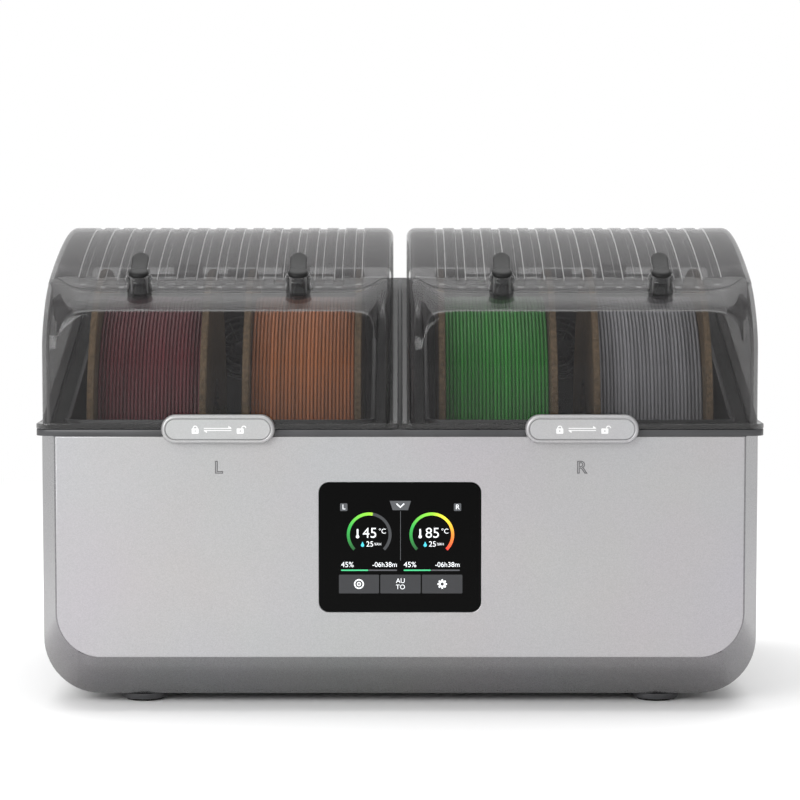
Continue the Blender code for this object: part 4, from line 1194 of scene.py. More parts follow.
def lidColumns():
    pitch, half = lidShape["groovePitch"], lidShape["grooveWidth"] / 2
    xs = []
    for number in range(-(lidShape["grooves"] // 2), lidShape["grooves"] // 2 + 1):
        xs += [number * pitch + offset for offset in
               (-half, -half + 0.0005, -half + 0.0010, -0.0010, -0.0005, 0.0,
                0.0005, 0.0010, half - 0.0010, half - 0.0005, half)]
    xs += [s * x for s in (-1, 1) for x in lidShape["columnEdges"]]
    return sorted(xs)


def lidShell(name, seam):
    crown = crownLine()
    lengths = measured(crown)
    rows = []
    for x in lidColumns():
        line = sunkProfile(x, columnProfile(x, crown, lengths, seam))
        rows.append([(x, depth, height) for depth, height in line])
    edgeLine = columnProfile(lidShape["edgeStart"], crown, lengths, seam)
    paneRows = 3
    for turn in range(0, 7):
        angle = radians(90) * turn / 6
        outer = []
        for i, (depth, height) in enumerate(edgeLine):
            past = max(0, i - paneRows)
            radius = max(lidShape["edgeRadiusBack"], lidShape["edgeRadius"] - 0.0002 * past)
            before, after = edgeLine[max(i - 1, 0)], edgeLine[min(i + 1, len(edgeLine) - 1)]
            along = Vector((after[0] - before[0], after[1] - before[1])).normalized()
            inwards = radius * (1 - cos(angle))
            level = height - along.x * inwards
            if i in (0, len(edgeLine) - 1):
                level = seam(depth + along.y * inwards)
            outer.append((lidShape["half"] - radius * (1 - sin(angle)),
                          depth + along.y * inwards, level))
        rows.append(outer)
        rows.insert(0, [(-x, y, z) for x, y, z in outer])
    count = len(rows[0])
    points = [(x, y + frontFace, z) for row in rows for x, y, z in row]
    faces = []
    for r in range(len(rows) - 1):
        for i in range(count - 1):
            faces.append((r * count + i, r * count + i + 1, (r + 1) * count + i + 1,
                          (r + 1) * count + i))
    bend = len(points)
    for row in (rows[0], rows[-1]):
        points.append((row[0][0], seamBend, seam(0.034)))
    last = (len(rows) - 1) * count
    faces.append((bend,) + tuple(range(count - 1, -1, -1)))
    faces.append((bend + 1,) + tuple(range(last, last + count)))
    shell = newPiece(name, points, faces)
    faceOutwards(shell)
    pane = min(shell.data.polygons, key=lambda face: face.center.y)
    if pane.normal.y > 0:
        shell.data.flip_normals()
    return shell


def flangeRing(name, bottom, top):
    # a flat-lying ring that follows the joint; its front corners are round
    outerHalf, innerHalf = lidShape["flangeHalf"], lidShape["half"] - lidShape["wall"]
    rings = []
    for half, front, back, radius, lift in (
            (outerHalf, 0.0, 0.2674, 0.008, bottom), (outerHalf, 0.0, 0.2674, 0.008, top),
            (innerHalf, 0.0056, 0.2648, 0.0063, top), (innerHalf, 0.0056, 0.2648, 0.0063, bottom)):
        outline = arcPoints((radius - half, front + radius), radius, 180, 270, 8)
        outline += arcPoints((half - radius, front + radius), radius, 270, 360, 8)
        outline += [(half, 0.034), (half, back), (-half, back), (-half, 0.034)]
        rings.append([(x, depth + frontFace, seamAt(depth + frontFace) + lift)
                      for x, depth in outline])
    count = len(rings[0])
    points = [p for ring in rings for p in ring]
    faces = [(r * count + i, r * count + (i + 1) % count,
              (r + 1) % 4 * count + (i + 1) % count, (r + 1) % 4 * count + i)
             for r in range(4) for i in range(count)]
    return faceOutwards(newPiece(name, points, faces))


def tiltedPort(piece, x):
    foot = portShape["foot"]
    place = Matrix.Translation((x, foot[0] + frontFace, foot[1]))
    return settle(piece, place @ Matrix.Rotation(portShape["tilt"], 4, "X"))


def cutAway(piece, cutter):
    hole = piece.modifiers.new("cut", "BOOLEAN")
    hole.operation = "DIFFERENCE"
    hole.solver = "EXACT"
    hole.object = cutter
    applyStack(piece)
    bpy.data.objects.remove(cutter)


def blockPiece(name, corner, opposite):
    piece = newPiece(name, [(x, y, z) for z in (corner[2], opposite[2])
                            for y in (corner[1], opposite[1]) for x in (corner[0], opposite[0])],
                     [(0, 2, 3, 1), (4, 5, 7, 6), (0, 1, 5, 4), (1, 3, 7, 5), (3, 2, 6, 7),
                      (2, 0, 4, 6)])
    return faceOutwards(piece)


def makeLid(side, sign):
    body = f"lid_{side}"
    centre = sign * lidShape["centre"]
    clearGap = 0.0015

    def seam(depth):
        return seamAt(depth + frontFace) + clearGap

    shell = lidShell(f"lidShell_{side}", seam)
    walls = shell.modifiers.new("wall thickness", "SOLIDIFY")
    walls.thickness = lidShape["wall"]
    walls.offset = -1.0
    applyStack(shell)
    faceOutwards(shell)
    settle(shell, Matrix.Translation((centre, 0.0, 0.0)))
    for offset in (-portShape["x"], portShape["x"]):
        bore = turnedShape("portBore", [(0.0, 0.02), (portShape["bore"], 0.02),
                                        (portShape["bore"], -0.014), (0.0, -0.014)], 40)
        cutAway(shell, tiltedPort(bore, centre + offset))
    latch = sign * latchX
    cutAway(shell, blockPiece("tabSlot", (latch - 0.016, frontFace - 0.01, 0.1756),
                              (latch + 0.009, frontFace + 0.0058, 0.1794)))
    smoothShade(shell, 32)
    dress(shell, clear["lid"], body, "smoked_clear", body)
    # the second material is a painted highlight on the walls of the grooves
    shell.data.materials.append(clear["glint"])
    full = lidShape["grooveDepth"]
    for face in shell.data.polygons:
        sunk = grooveDepthAt(face.center.x - centre, face.center.y - frontFace)
        above = face.center.z > lidShape["shoulder"][1] and face.normal.z > 0.0
        if above and 0.08 * full < sunk < 0.92 * full:
            face.material_index = 1       # painted highlight: the groove walls get a pale colour that stands in for the light they catch

    ring = roundOff(flangeRing(f"lidFlange_{side}", 0.0003, 0.0003 + lidShape["flangeHeight"]),
                    0.0007, 3)
    settle(ring, Matrix.Translation((centre, 0.0, 0.0)))
    dress(ring, clear["flange"], body, "smoked_clear")

    for place, offset in (("outer", sign * portShape["x"]), ("inner", -sign * portShape["x"])):
        radius, bore, height = portShape["radius"], portShape["bore"], portShape["height"]
        profile = [(bore, -0.0045), (bore, height - 0.0005), (bore + 0.0005, height),
                   (radius - 0.0006, height), (radius - 0.0001, height - 0.0004),
                   (radius, height - 0.0009), (radius, height - 0.0016),
                   (radius + 0.0007, height - 0.0021), (radius + 0.0009, height - 0.0028),
                   (radius + 0.0007, height - 0.0035), (radius, height - 0.0040),
                   (radius, 0.0012), (radius + 0.0006, 0.0003),
                   (radius + 0.0006, -0.0045)]
        collar = turnedShape(f"portCollar_{side}_{place}", profile[::-1] + [profile[-1]], 56)
        tiltedPort(collar, centre + offset)
        smoothShade(collar, 50)
        dress(collar, clear["collar"], body, "smoked_clear")

    for number, offset in enumerate(hinge["lidKnuckles"]):
        barrel = hingeBarrel(f"lidKnuckle_{side}_{number}", centre + offset, forward=True)
        dress(barrel, clear["flange"], body, "smoked_clear")


hinge = {
    "depth": 0.272,           # of the pin behind the front face
    "height": 0.258,
    "radius": 0.004,          # outside of a knuckle
    "half": 0.010,            # half the length of a knuckle
    "bore": 0.0019,
    "rod": 0.0015,
    "rodHalf": 0.086,
    "lidKnuckles": (-0.0375, 0.0375),
    "rimKnuckles": (-0.075, 0.0, 0.075),
}


def hingeBarrel(name, x, forward):
    # a knuckle with its bore: forward ones grow out of a lid, the others out of the rim
    depth, height, radius, half = (hinge[key] for key in ("depth", "height", "radius", "half"))
    if forward:
        outline = arcPoints((depth, height), radius, 55, -235, 28)
        outline += [(0.2664, 0.2612), (0.2664, 0.2655)]
    else:
        foot = seamAt(depth + frontFace) - 0.002
        outline = arcPoints((depth, height), radius, -45, 225, 28) + [(0.269, foot), (0.275, foot)]
    rings = [[(side, y + frontFace, z) for y, z in outline] for side in (x - half, x + half)]
    barrel = faceOutwards(loft(name, rings))
    reach, width = half * 2, hinge["bore"]
    bore = turnedShape("knuckleBore", [(0.0, reach), (width, reach), (width, -reach),
                                       (0.0, -reach)], 32)
    cutAway(barrel, alongX(bore, x, depth, height))
    roundOff(barrel, 0.0003, 2, 40)
    return barrel


# a pale smoked finish painted on the groove walls as their highlight
clear["glint"] = smokedClear("smokedPaintedGlint", (0.48, 0.48, 0.48), (0.92, 0.92, 0.92), 0.60, 0.02)
# its near-white edge colour is a painted highlight round the collar rims
clear["collar"] = smokedClear("smokedCollarPaintedHighlight", (0.060, 0.060, 0.061), (0.90, 0.90, 0.90), 0.80, 0.01)
for side, sign in sides.items():
    makeLid(side, sign)
print("lids made")


for side, sign in sides.items():
    centre = sign * lidShape["centre"]
    for number, offset in enumerate(hinge["rimKnuckles"]):
        barrel = hingeBarrel(f"rimKnuckle_{side}_{number}", centre + offset, forward=False)
        dress(barrel, plastic["rim"], "base", "rim_dark")
    rod, half, soft = hinge["rod"], hinge["rodHalf"], 0.0003
    pin = turnedShape(f"hingeRod_{side}", [(0.0, half), (rod - soft, half), (rod, half - soft),
                                           (rod, soft - half), (rod - soft, -half), (0.0, -half)],
                      24)
    alongX(pin, centre, hinge["depth"], hinge["height"])
    dress(pin, steel["axle"], "base", "steel", f"hinge_pin_{side}")
    tub = cadCopy(f"tub_{side}", f"tubShell_{side}", 0.0008, 2)
    dress(tub, plastic["tub"], "base", "tub_black", f"tub_{side}")
    seal = cadCopy(f"lid_seal_{side}", f"sealRing_{side}", 0.0008, 3)
    dress(seal, rubber["seal"], "base", "rubber_black", f"lid_seal_{side}")


spoolShape = {
    "axis": (0.145, 0.165),   # depth and height
    "radius": 0.100,
    "bore": 0.0275,
    "core": 0.040,
    "half": 0.037,
    "flange": 0.0043,
    "wound": 0.082,
    "strands": 28,
}
spoolPlaces = {"left_outer": -0.157, "left_inner": -0.061, "right_inner": 0.061,
               "right_outer": 0.157}
filament = {
    "left_outer": ("maroon", woundStrand("maroonFilament", (0.105, 0.016, 0.022), 0.40)),
    "left_inner": ("orange", woundStrand("orangeFilament", (0.36, 0.125, 0.045), 0.40)),
    "right_inner": ("green", woundStrand("greenFilament", (0.022, 0.215, 0.024), 0.40)),
    "right_outer": ("grey", woundStrand("greyFilament", (0.225, 0.223, 0.238), 0.40)),
}


def windingProfile():
    # the outermost layer of strands as ridges, then down the sides to the core
    reach = spoolShape["half"] - spoolShape["flange"] - 0.0003
    pitch = 2 * reach / spoolShape["strands"]
    line = [(spoolShape["core"] + 0.0003, reach), (spoolShape["wound"] - 0.003, reach)]
    for strand in range(spoolShape["strands"]):
        middle = reach - pitch * (strand + 0.5)
        for angle in (88, 66, 40, 14, -14, -40, -66, -88):
            line.append((spoolShape["wound"] - 0.0018 + 0.0018 * cos(radians(angle)) ** 0.8,
                         middle + pitch * 0.485 * sin(radians(angle))))
    return line + [(spoolShape["wound"] - 0.003, -reach), (spoolShape["core"] + 0.0003, -reach),
                   (spoolShape["core"] + 0.0003, reach)]


def reelProfile():
    half, inside = spoolShape["half"], spoolShape["half"] - spoolShape["flange"]
    radius, core, bore, soft = spoolShape["radius"], spoolShape["core"], spoolShape["bore"], 0.0006
    line = [(bore + soft, half), (radius - soft, half), (radius, half - soft),
            (radius, inside + soft), (radius - soft, inside), (core + soft, inside),
            (core, inside - soft)]
    mirrored = [(r, -z) for r, z in reversed(line)]
    return line + mirrored + [(bore, -half + soft), (bore, half - soft), line[0]]


roller = {
    "half": 0.0388,
    "bore": 0.0034,
    "body": 0.0083,
    "ridge": 0.0090,
    "valley": 0.0084,
    "ridges": 12,
    "firstRidge": 0.036,
    "pitch": 0.00655,
    "axle": 0.0030,
}


def rollerProfile():
    # a sleeve with flat-topped ridges along it
    half, bore, body = roller["half"], roller["bore"], roller["body"]
    ridges = []
    for ring in range(roller["ridges"]):
        middle = roller["firstRidge"] - ring * roller["pitch"]
        ridges += [(roller["ridge"], middle + 0.0022), (roller["ridge"], middle - 0.0022),
                   (roller["valley"], middle - 0.0027), (roller["valley"], middle - 0.0038)]
    return [(bore, half), (body, half)] + ridges[:-1] + [(body, -half), (bore, -half),
                                                         (bore, half)]


for name, x in spoolPlaces.items():
    colour, strand = filament[name]
    winding = turnedShape(f"winding_{name}Turns", windingProfile(), 96)
    alongX(winding, x, *spoolShape["axis"])
    smoothShade(winding, 60)
    dress(winding, strand, f"spool_{name}", f"filament_{colour}", f"winding_{name}")
    reel = turnedShape(f"reel_{name}Card", reelProfile(), 96)
    alongX(reel, x, *spoolShape["axis"])
    smoothShade(reel, 30)
    dress(reel, card, f"spool_{name}", "card_brown", f"reel_{name}")
    for row in ("front", "rear"):
        low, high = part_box(f"roller_{name}_{row}")
        sleeve = turnedShape(f"roller_{name}_{row}Sleeve", rollerProfile(), 40)
        alongX(sleeve, x, (low.y + high.y) / 2 - frontFace, (low.z + high.z) / 2)
        smoothShade(sleeve, 30)
        dress(sleeve, rubber["roller"], f"roller_{name}_{row}", "rubber_black",
              f"roller_{name}_{row}")

for side in sides:
    for row in ("front", "rear"):
        node = f"roller_axle_{side}_{row}"
        low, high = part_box(node)
        half, radius, soft = (high.x - low.x) / 2, roller["axle"], 0.0004
        axle = turnedShape(f"{node}Rod", [(0.0, half), (radius - soft, half), (radius, half - soft),
                                          (radius, soft - half), (radius - soft, -half),
                                          (0.0, -half)], 32)
        alongX(axle, (low.x + high.x) / 2, (low.y + high.y) / 2 - frontFace,
               (low.z + high.z) / 2)
        dress(axle, steel["axle"], "base", "steel", node)
print("spools made")


for side in sides:
    housing = cadCopy(f"fan_housing_{side}", f"fanFrame_{side}", 0.0004, 2)
    dress(housing, plastic["fan"], "base", "plastic_grey", f"fan_housing_{side}")
    rotor = cadCopy(f"fan_rotor_{side}", f"fanRotor_{side}", 0.0002, 2)
    dress(rotor, plastic["fan"], f"fan_{side}", "plastic_grey", f"fan_rotor_{side}")
    heater = cadCopy(f"heater_{side}", f"heaterFins_{side}", 0.0002, 1)
    dress(heater, steel["fins"], "base", "steel", f"heater_{side}")


latchShape = {"x": latchX, "height": 0.17245, "size": (0.0682, 0.0175), "front": -0.0057,
              "back": -0.0003, "border": 0.0024}


def pillOutline(inset, steps=14):
    width = latchShape["size"][0] - 2 * inset
    height = latchShape["size"][1] - 2 * inset
    return roundedOutline(width, height, height / 2 - 0.00005, (0.0, 0.0), steps)


def pillStack(name, stack, centre):
    rings = [[(centre + x, frontFace + depth, latchShape["height"] + z)
              for x, z in pillOutline(inset)] for depth, inset in stack]
    return faceOutwards(loft(name, rings))


def plateOn(name, outlines, thickness, centre, depth, height):
    plate = flatShape(name, outlines, thickness)
    return settle(plate, Matrix.Translation((centre, 0.0, height)) @ standUp(depth))


def padlock(x, z, opened):
    # outline of the body, with a key slot, and the bow over it
    body = roundedOutline(0.0042, 0.0032, 0.0004, (x, z - 0.0010), 3)
    slot = roundedOutline(0.0007, 0.0012, 0.0003, (x, z - 0.0010), 3)
    middle = (x + (0.0022 if opened else 0.0), z + 0.0008)
    outside = arcPoints(middle, 0.0015, 0, 180, 12)
    inside = arcPoints(middle, 0.0009, 180, 0, 12)
    foot = z + 0.0004
    bow = [(outside[0][0], middle[1] - (0.0 if opened else 0.0004))] + outside
    bow += [(outside[-1][0], foot), (inside[0][0], foot)] + inside
    bow += [(inside[-1][0], middle[1] - (0.0 if opened else 0.0004))]
    return [body, slot], [bow]


def halfArrow(x, z, way):
    # a line with one barb at its end
    length, thick = 0.0165, 0.00045
    line = [(x - length / 2, z), (x + length / 2, z), (x + length / 2, z + thick),
            (x - length / 2, z + thick)]
    tip = (x + way * length / 2, z + (thick if way > 0 else 0.0))
    rise = 0.0013 * (1 if way > 0 else -1)
    barb = [tip, (tip[0] - way * 0.0018, tip[1] + rise), (tip[0] - way * 0.0018, tip[1])]
    return line, barb


def makeLatch(side, sign):
    body = f"latch_{side}"
    centre = sign * latchShape["x"]
    border, front, back = latchShape["border"], latchShape["front"], latchShape["back"]
    stack = [(back, 0.0002), (back - 0.0003, 0.0), (front + 0.0020, 0.0), (front + 0.0012, 0.0002),
             (front + 0.0006, 0.0006), (front + 0.0002, 0.0011), (front, 0.0016),
             (front + 0.0001, border - 0.0002), (front + 0.0004, border),
             (front + 0.0012, border)]
    ring = pillStack(f"latchPill_{side}", stack, centre)
    smoothShade(ring, 50)
    low, height = frontFace + back - 0.0005, latchShape["height"]
    parts = [blockPiece("tongue", (centre - 0.005, low, height - 0.00785),
                        (centre + 0.005, frontFace + 0.006, height - 0.00505)),
             blockPiece("tab", (centre - 0.008, low, 0.1760),
                        (centre + 0.008, frontFace + 0.0062, 0.1790)),
             blockPiece("keeper", (centre - 0.008, frontFace + 0.0060, 0.1752),
                        (centre + 0.008, frontFace + 0.0073, 0.1808))]
    hooks = roundOff(joinPieces(f"latchHooks_{side}", parts), 0.0003, 2)
    dress(ring, paint["silver"], body, "casing_grey", f"latch_body_{side}")
    dress(hooks, paint["casing"], body, "casing_grey")
    stack = [(front + 0.0009, border + 0.0003), (front + 0.0003, border + 0.0003),
             (front + 0.00005, border + 0.0006)]
    face = pillStack(f"latchPlate_{side}", stack, centre)
    smoothShade(face, 30)
    dress(face, paint["latch"], body, "panel_silver", f"latch_face_{side}")
    marks = []
    for x, opened in ((-0.0135, False), (0.0135, True)):
        marks += padlock(x, 0.0, opened)
    for z, way in ((0.0004, 1), (-0.0009, -1)):
        marks += [[line] for line in halfArrow(0.0, z, way)]
    plates = [plateOn("mark", outlines, 0.00008, centre, frontFace + front + 0.00004,
                      latchShape["height"]) for outlines in marks]
    icons = joinPieces(f"latchMarks_{side}", plates)
    dress(icons, mark["white"], body, "panel_silver")


for side, sign in sides.items():
    makeLatch(side, sign)
print("latches made")


def makePlug(side, place, x):
    name = f"plug_{side}_{place}"
    head = portShape["height"] + 0.0003
    profile = [(0.0, head + 0.0026), (0.0035, head + 0.0026), (0.0050, head + 0.0023),
               (0.0059, head + 0.0016), (0.0062, head + 0.0008), (0.0061, head),
               (0.0050, head), (0.0050, 0.0060), (0.0052, 0.0054), (0.0050, 0.0048),
               (0.0050, -0.0020), (0.0045, -0.0029), (0.0, -0.0030)]
    stem = turnedShape(f"{name}Stem", profile, 48)
    smoothShade(stem, 45)
    # the pull tab: a soft strap that widens a little to its round end
    rows = []
    reach, steps = 0.0200, 16
    for i in range(steps + 1):
        t = i / steps
        y = 0.0005 + reach * t
        half = 0.0050 + 0.0004 * t
        tail = y - (reach + 0.0005 - 0.0054)
        if tail > 0:
            half *= sqrt(max(0.0, 1 - (tail / 0.00541) ** 2))
        half = max(half, 0.0004)
        rise = 0.0006 + 0.0028 * t * t
        thick = 0.0009 + 0.0002 * sin(pi * t)
        ring = []
        for angle in range(0, 360, 30):
            c, s = cos(radians(angle)), sin(radians(angle))
            ring.append((half * (abs(c) ** 0.55) * (1 if c >= 0 else -1), y,
                         head + 0.0010 + rise * 0.9 + thick * (abs(s) ** 0.8)
                         * (1 if s >= 0 else -1)))
        rows.append(ring)
    strap = faceOutwards(loft("strap", rows))
    soften = strap.modifiers.new("soften", "SUBSURF")
    soften.levels = 1
    soften.render_levels = 1
    applyStack(strap)
    smoothShade(strap, 60)
    plug = joinPieces(f"{name}Rubber", [stem, strap])
    smoothShade(plug, 50)
    tiltedPort(plug, x)
    dress(plug, rubber["plug"], name, "rubber_black", name)


for side, sign in sides.items():
    for place, way in (("outer", 1), ("inner", -1)):
        makePlug(side, place, sign * (lidShape["centre"] + way * portShape["x"]))
print("plugs made")


footPlace = {"apart": 0.159, "front": 0.048, "rear": 0.235}
for end in ("front", "rear"):
    for side, sign in sides.items():
        node = f"foot_{end}_{side}"
        place = Matrix.Translation((sign * footPlace["apart"], footPlace[end] + frontFace, 0.0))
        pad = turnedShape(f"{node}Pad", [(0.0, 0.0014), (0.01175, 0.0014), (0.01175, 0.0004),
                                         (0.0112, 0.0), (0.0, 0.0)], 48)
        settle(pad, place)
        dress(pad, rubber["foot"], "base", "rubber_black", node)
        cup = turnedShape(f"{node}Cup", [(0.0, 0.0050), (0.0145, 0.0050), (0.0145, 0.0022),
                                         (0.0141, 0.0016), (0.0132, 0.0013), (0.0, 0.0013)], 56)
        settle(cup, place)
        dress(cup, plastic["rim"], "base", "rubber_black")
print("feet made")


screen = {
    "face": 0.00027,          # depth of the lit picture, level with the cover glass
    "dials": ((-0.0186, 0.54), (0.0192, 1.0)),       # centre X and how far round it is lit
    "dialHeight": 0.1082,
    "dialRadius": 0.0135,
    "dialWidth": 0.0018,
    "bars": ((-0.0356, -0.0017, -0.0192), (0.0022, 0.0362, 0.0186)),
    "barHeight": 0.0866,
    "buttons": ((-0.0369, -0.0127), (-0.0119, 0.0125), (0.0133, 0.0377)),
    "buttonFoot": 0.0725,
    "buttonTop": 0.0839,
}


def litRing(name, fromColours):
    # glows in the colours stored at its own points
    material, nodes, links = startMaterial(name)
    output = nodes.new("ShaderNodeOutputMaterial")
    output.label = "lit ring"
    shader = nodes.new("ShaderNodeBsdfPrincipled")
    shader.label = "screen light"
    stored = nodes.new("ShaderNodeAttribute")
    stored.label = "colour round the dial"
    stored.attribute_name = fromColours
    place = nodes.new("ShaderNodeTexCoord")
    place.label = "place on the part"
    dots = nodes.new("ShaderNodeTexVoronoi")
    dots.label = "screen dots"
    level = nodes.new("ShaderNodeMapRange")
    level.label = "dot brightness"
    dots.inputs["Scale"].default_value = 4000.0
    level.inputs["To Min"].default_value = 0.62
    level.inputs["To Max"].default_value = 0.46
    shader.inputs["Roughness"].default_value = 0.2
    links.new(place.outputs["Object"], dots.inputs["Vector"])
    links.new(dots.outputs["Distance"], level.inputs["Value"])
    links.new(level.outputs["Result"], shader.inputs["Emission Strength"])
    links.new(stored.outputs["Color"], shader.inputs["Base Color"])
    links.new(stored.outputs["Color"], shader.inputs["Emission Color"])
    links.new(shader.outputs["BSDF"], output.inputs["Surface"])
    for node, x, y in [(place, -900, -150), (dots, -650, -150), (level, -400, -150),
                       (stored, -400, 150), (shader, -100, 50), (output, 200, 50)]:
        node.location = (x, y)
    return material


lit = {
    "white": smoothFinish("screenWhite", (0.78, 0.80, 0.82), 0.20, 0.45),
    "grey": smoothFinish("screenGrey", (0.07, 0.074, 0.08), 0.20, 0.20),
    "button": smoothFinish("screenButton", (0.022, 0.023, 0.026), 0.20, 0.15),
    "green": smoothFinish("screenGreen", (0.05, 0.50, 0.20), 0.20, 0.45),
    "cyan": smoothFinish("screenCyan", (0.05, 0.50, 0.62), 0.20, 0.45),
    "dials": litRing("screenDials", "dialColour"),
}
coverGlass = smoothFinish("coverGlass", (0.002, 0.002, 0.002), 0.05, 0.0, 0.05)


def screenPlate(outlines, lift=0.0):
    return plateOn("screenShape", outlines, 0.00003, 0.0, frontFace + screen["face"] - lift, 0.0)


def screenText(text, size, x, z, align="CENTER"):
    curve = bpy.data.curves.new("screenText", "FONT")
    curve.body = text
    curve.size = size
    curve.align_x = align
    curve.align_y = "CENTER"
    curve.extrude = 0.000015
    writing = bpy.data.objects.new("screenText", curve)
    scene.collection.objects.link(writing)
    writing = applyStack(writing)
    faceOutwards(writing)
    return settle(writing, Matrix.Translation((x, 0.0, z))
                  @ standUp(frontFace + screen["face"] - 0.00004))


def dialColour(share):
    stops = [(0.0, (0.004, 0.06, 0.012)), (0.25, (0.02, 0.33, 0.05)), (0.5, (0.22, 0.60, 0.03)),
             (0.65, (0.75, 0.62, 0.03)), (0.82, (0.85, 0.22, 0.02)), (1.0, (0.75, 0.03, 0.02))]
    for (a, low), (b, high) in zip(stops, stops[1:]):
        if share <= b:
            part = (share - a) / (b - a)
            return tuple(l + (h - l) * part for l, h in zip(low, high)) + (1.0,)
    return stops[-1][1] + (1.0,)


def dialRing(x, filled):
    # three quarters of a ring, from low left clockwise to low right
    steps, inner = 72, screen["dialRadius"] - screen["dialWidth"]
    points, faces, colours = [], [], []
    for i in range(steps + 1):
        share = i / steps
        angle = radians(225 - 270 * share)
        for radius in (inner, screen["dialRadius"]):
            for y in (-0.00002, 0.00002):
                points.append((x + radius * cos(angle), frontFace + screen["face"] + y,
                               screen["dialHeight"] + radius * sin(angle)))
                colours.append(dialColour(share) if share <= filled
                               else (0.03, 0.032, 0.035, 1.0))
    for i in range(steps):
        a, b = 4 * i, 4 * i + 4
        faces += [(a, a + 2, b + 2, b), (a + 1, b + 1, b + 3, a + 3), (a, b, b + 1, a + 1),
                  (a + 2, a + 3, b + 3, b + 2)]
    faces += [(0, 1, 3, 2), (4 * steps, 4 * steps + 2, 4 * steps + 3, 4 * steps + 1)]
    ring = newPiece("dialRing", points, faces)
    layer = ring.data.color_attributes.new("dialColour", "FLOAT_COLOR", "POINT")
    for i, colour in enumerate(colours):
        layer.data[i].color = colour
    shape = bmesh.new()
    shape.from_mesh(ring.data)
    bmesh.ops.recalc_face_normals(shape, faces=shape.faces)
    shape.to_mesh(ring.data)
    shape.free()
    return ring


def gearOutline(x, z):
    teeth, points = 8, []
    for tooth in range(teeth):
        for turn, radius in ((-14, 0.0022), (-9, 0.0029), (9, 0.0029), (14, 0.0022)):
            angle = radians(tooth * 360 / teeth + turn)
            points.append((x + radius * cos(angle), z + radius * sin(angle)))
    return points


def circle(x, z, radius, steps=24):
    return arcPoints((x, z), radius, 0, 360, steps)[:-1]


def makeScreen():
    whites, greys, buttons, greens, cyans, dials = [], [], [], [], [], []
    middle = (screen["buttonFoot"] + screen["buttonTop"]) / 2
    for left, right in screen["buttons"]:
        buttons.append(screenPlate([roundedOutline(right - left, screen["buttonTop"]
                       - screen["buttonFoot"], 0.0006, ((left + right) / 2, middle), 4)]))
    for left, right, done in screen["bars"]:
        z = screen["barHeight"]
        greens.append(screenPlate([roundedOutline(done - left, 0.0008, 0.00035,
                                                  ((left + done) / 2, z), 3)]))
        greys.append(screenPlate([roundedOutline(right - done - 0.0002, 0.0008, 0.00035,
                                                 ((right + done) / 2, z), 3)]))
    greys.append(screenPlate([roundedOutline(0.0003, 0.030, 0.0001, (0.0003, 0.1075), 2)]))
    greys.append(screenPlate([[(-0.0062, 0.1287), (0.0066, 0.1287), (0.0048, 0.1231),
                               (-0.0044, 0.1231)]]))
    whites.append(screenPlate([[(-0.0024, 0.1268), (0.0002, 0.1244), (0.0028, 0.1268),
                                (0.0022, 0.1273), (0.0002, 0.1254), (-0.0018, 0.1273)]], 0.00006))
    for x, letter in ((-0.0339, "L"), (0.0347, "R")):
        greys.append(screenPlate([roundedOutline(0.0044, 0.0046, 0.0005, (x, 0.1249), 3)]))
        whites.append(screenText(letter, 0.0042, x, 0.1249))
    for (x, filled), number in zip(screen["dials"], ("45", "85")):
        z = screen["dialHeight"]
        dials.append(dialRing(x, filled))
        whites.append(screenText(number, 0.0088, x + 0.0004, z + 0.0008))
        whites.append(screenText("°C", 0.0042, x + 0.0079, z + 0.0020))
        whites.append(screenPlate([roundedOutline(0.0010, 0.0042, 0.00045,
                                                  (x - 0.0070, z + 0.0014), 4)]))
        whites.append(screenPlate([circle(x - 0.0070, z - 0.0012, 0.0010)]))
        whites.append(screenText("25", 0.0046, x + 0.0004, z - 0.0058))
        whites.append(screenText("%RH", 0.0021, x + 0.0052, z - 0.0058))
        drop = arcPoints((x - 0.0040, z - 0.0064), 0.0010, -215, 35, 14)
        cyans.append(screenPlate([drop + [(x - 0.0040, z - 0.0042)]]))
    for left, right in ((-0.0356, -0.0017), (0.0022, 0.0362)):
        whites.append(screenText("45%", 0.0046, left, 0.0899, "LEFT"))
        whites.append(screenText("-06h38m", 0.0042, right, 0.0899, "RIGHT"))
    spoolX, gearX = (sum(screen["buttons"][i]) / 2 for i in (0, 2))
    whites.append(screenPlate([circle(spoolX, middle, 0.0030), circle(spoolX, middle, 0.0022)],
                              0.00006))
    whites.append(screenPlate([circle(spoolX, middle, 0.0013), circle(spoolX, middle, 0.0006)],
                              0.00006))
    whites.append(screenPlate([gearOutline(gearX, middle), circle(gearX, middle, 0.0010)],
                              0.00006))
    whites.append(screenText("AU", 0.0040, 0.0003, middle + 0.0019))
    whites.append(screenText("TO", 0.0040, 0.0003, middle - 0.0019))
    for name, pieces, material in (("screenTexts", whites, "white"), ("screenLines", greys, "grey"),
                                   ("screenButtons", buttons, "button"),
                                   ("screenProgress", greens, "green"),
                                   ("screenDrops", cyans, "cyan"), ("screenRings", dials, "dials")):
        dress(joinPieces(name, pieces), lit[material], "base", "glass_black")


glassLow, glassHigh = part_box("display_glass")
glass = flatShape("coverGlassPlate", [roundedOutline(glassHigh.x - glassLow.x,
                  glassHigh.z - glassLow.z, 0.006, (0.0, (glassLow.z + glassHigh.z) / 2), 10)],
                  glassHigh.y - glassLow.y, 0.0003)
settle(glass, standUp((glassLow.y + glassHigh.y) / 2))
evenShade(glass, 50)
dress(glass, coverGlass, "base", "glass_black", "display_glass")
makeScreen()
print("display made")


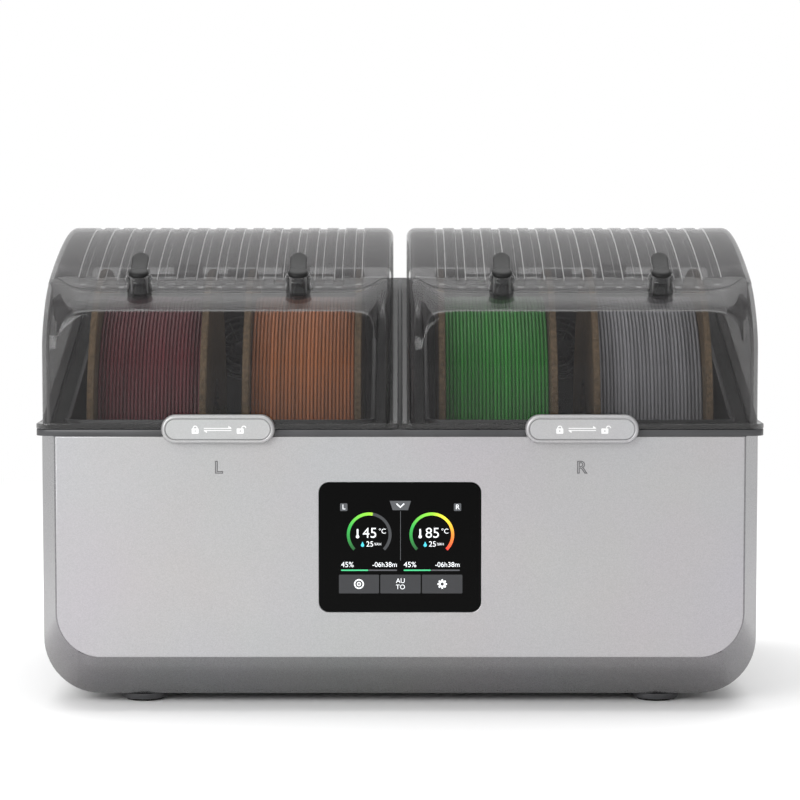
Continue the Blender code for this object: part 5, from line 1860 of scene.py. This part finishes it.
inlet = cadCopy("power_inlet", "inletBlock", 0.0004, 2)
dress(inlet, plastic["fitting"], "base", "tub_black", "power_inlet")
rocker = cadCopy("power_switch", "rockerKey", 0.0004, 3)
dress(rocker, plastic["fitting"], "power_rocker", "tub_black", "power_switch")
socketX, socketZ, coverFace = -0.163, 0.060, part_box("rear_cover")[1].y
pins = [blockPiece("pin", (socketX + x - 0.0011, coverFace - 0.0175, socketZ + z - 0.0022),
                   (socketX + x + 0.0011, coverFace - 0.0035, socketZ + z + 0.0022))
        for x, z in ((-0.0070, -0.0015), (0.0, 0.0020), (0.0070, -0.0015))]
contacts = roundOff(joinPieces("inletPins", pins), 0.0004, 2)
dress(contacts, steel["screw"], "base", "tub_black")


def screwHead(name, x, z, radius, y, body):
    # a pan head with a cross recess, facing backwards
    head = turnedShape(name, [(0.0, 0.0014), (radius * 0.55, 0.0013), (radius * 0.85, 0.0009),
                              (radius, 0.0003), (radius, -0.0004), (0.0, -0.0004)], 32)
    for turn in (0, 90):
        bar = blockPiece("recess", (-radius * 0.6, -0.00035, 0.0006),
                         (radius * 0.6, 0.00035, 0.003))
        settle(bar, Matrix.Rotation(radians(turn + 25), 4, "Z"))
        cutAway(head, bar)
    smoothShade(head, 35)
    settle(head, Matrix.Translation((x, y, z)) @ Matrix.Rotation(-pi / 2, 4, "X"))
    dress(head, steel["screw"], body, "steel")


for number, (x, z) in enumerate(((-0.196, 0.050), (0.196, 0.050), (-0.207, 0.225),
                                 (0.207, 0.225), (-0.040, 0.016), (0.040, 0.016),
                                 (0.0, 0.225))):
    screwHead(f"coverScrew_{number}", x, z, 0.0030, coverFace, "base")
for number, x in enumerate((-0.1795, -0.1205)):
    screwHead(f"inletScrew_{number}", x, 0.060, 0.0018, coverFace - 0.0003, "base")

weave = mouldedPlastic("filterWeave", (0.014, 0.014, 0.014), 0.7, 0.0012, 0.0004)
for side, sign in sides.items():
    centre = sign * rearShape["slotX"]
    pad = blockPiece(f"dustFilter_{side}", (centre - 0.026, frontFace + 0.2735, 0.187),
                     (centre + 0.026, frontFace + 0.2755, 0.228))
    roundOff(pad, 0.0006, 2)
    dress(pad, weave, "base", "tub_black")
    rings = []
    for radius in (0.0065, 0.0125, 0.0172, 0.0212):
        profile = [(radius + 0.0006 * cos(radians(a)), 0.0006 * sin(radians(a)))
                   for a in range(0, 361, 45)]
        rings.append(turnedShape("grilleRing", profile, 56))
    for turn in range(6):
        spoke = blockPiece("spoke", (0.0045, -0.0005, -0.0004), (0.0222, 0.0005, 0.0004))
        rings.append(settle(spoke, Matrix.Rotation(radians(turn * 60 + 30), 4, "Z")))
    rings.append(turnedShape("hubCap", [(0.0, 0.0009), (0.0040, 0.0008), (0.0046, 0.0003),
                                        (0.0046, -0.0006), (0.0, -0.0006)], 32))
    grille = joinPieces(f"fanGrille_{side}", rings)
    settle(grille, Matrix.Translation((centre, frontFace + 0.2490, rearShape["slotHeight"]))
           @ Matrix.Rotation(pi / 2, 4, "X"))
    smoothShade(grille, 40)
    dress(grille, plastic["fan"], "base", "plastic_grey")

for node, name, material, slot in (
        ("display_screen", "screenModule", plastic["fan"], "plastic_grey"),
        ("display_board", "screenBoard", board, "board_green"),
        ("main_board", "mainBoard", board, "board_green"),
        ("power_supply", "powerSupply", steel["fins"], "plastic_grey")):
    piece = cadCopy(node, name, 0.0002, 1)
    dress(piece, material, "base", slot, node)
print("power inlet and inner parts made")
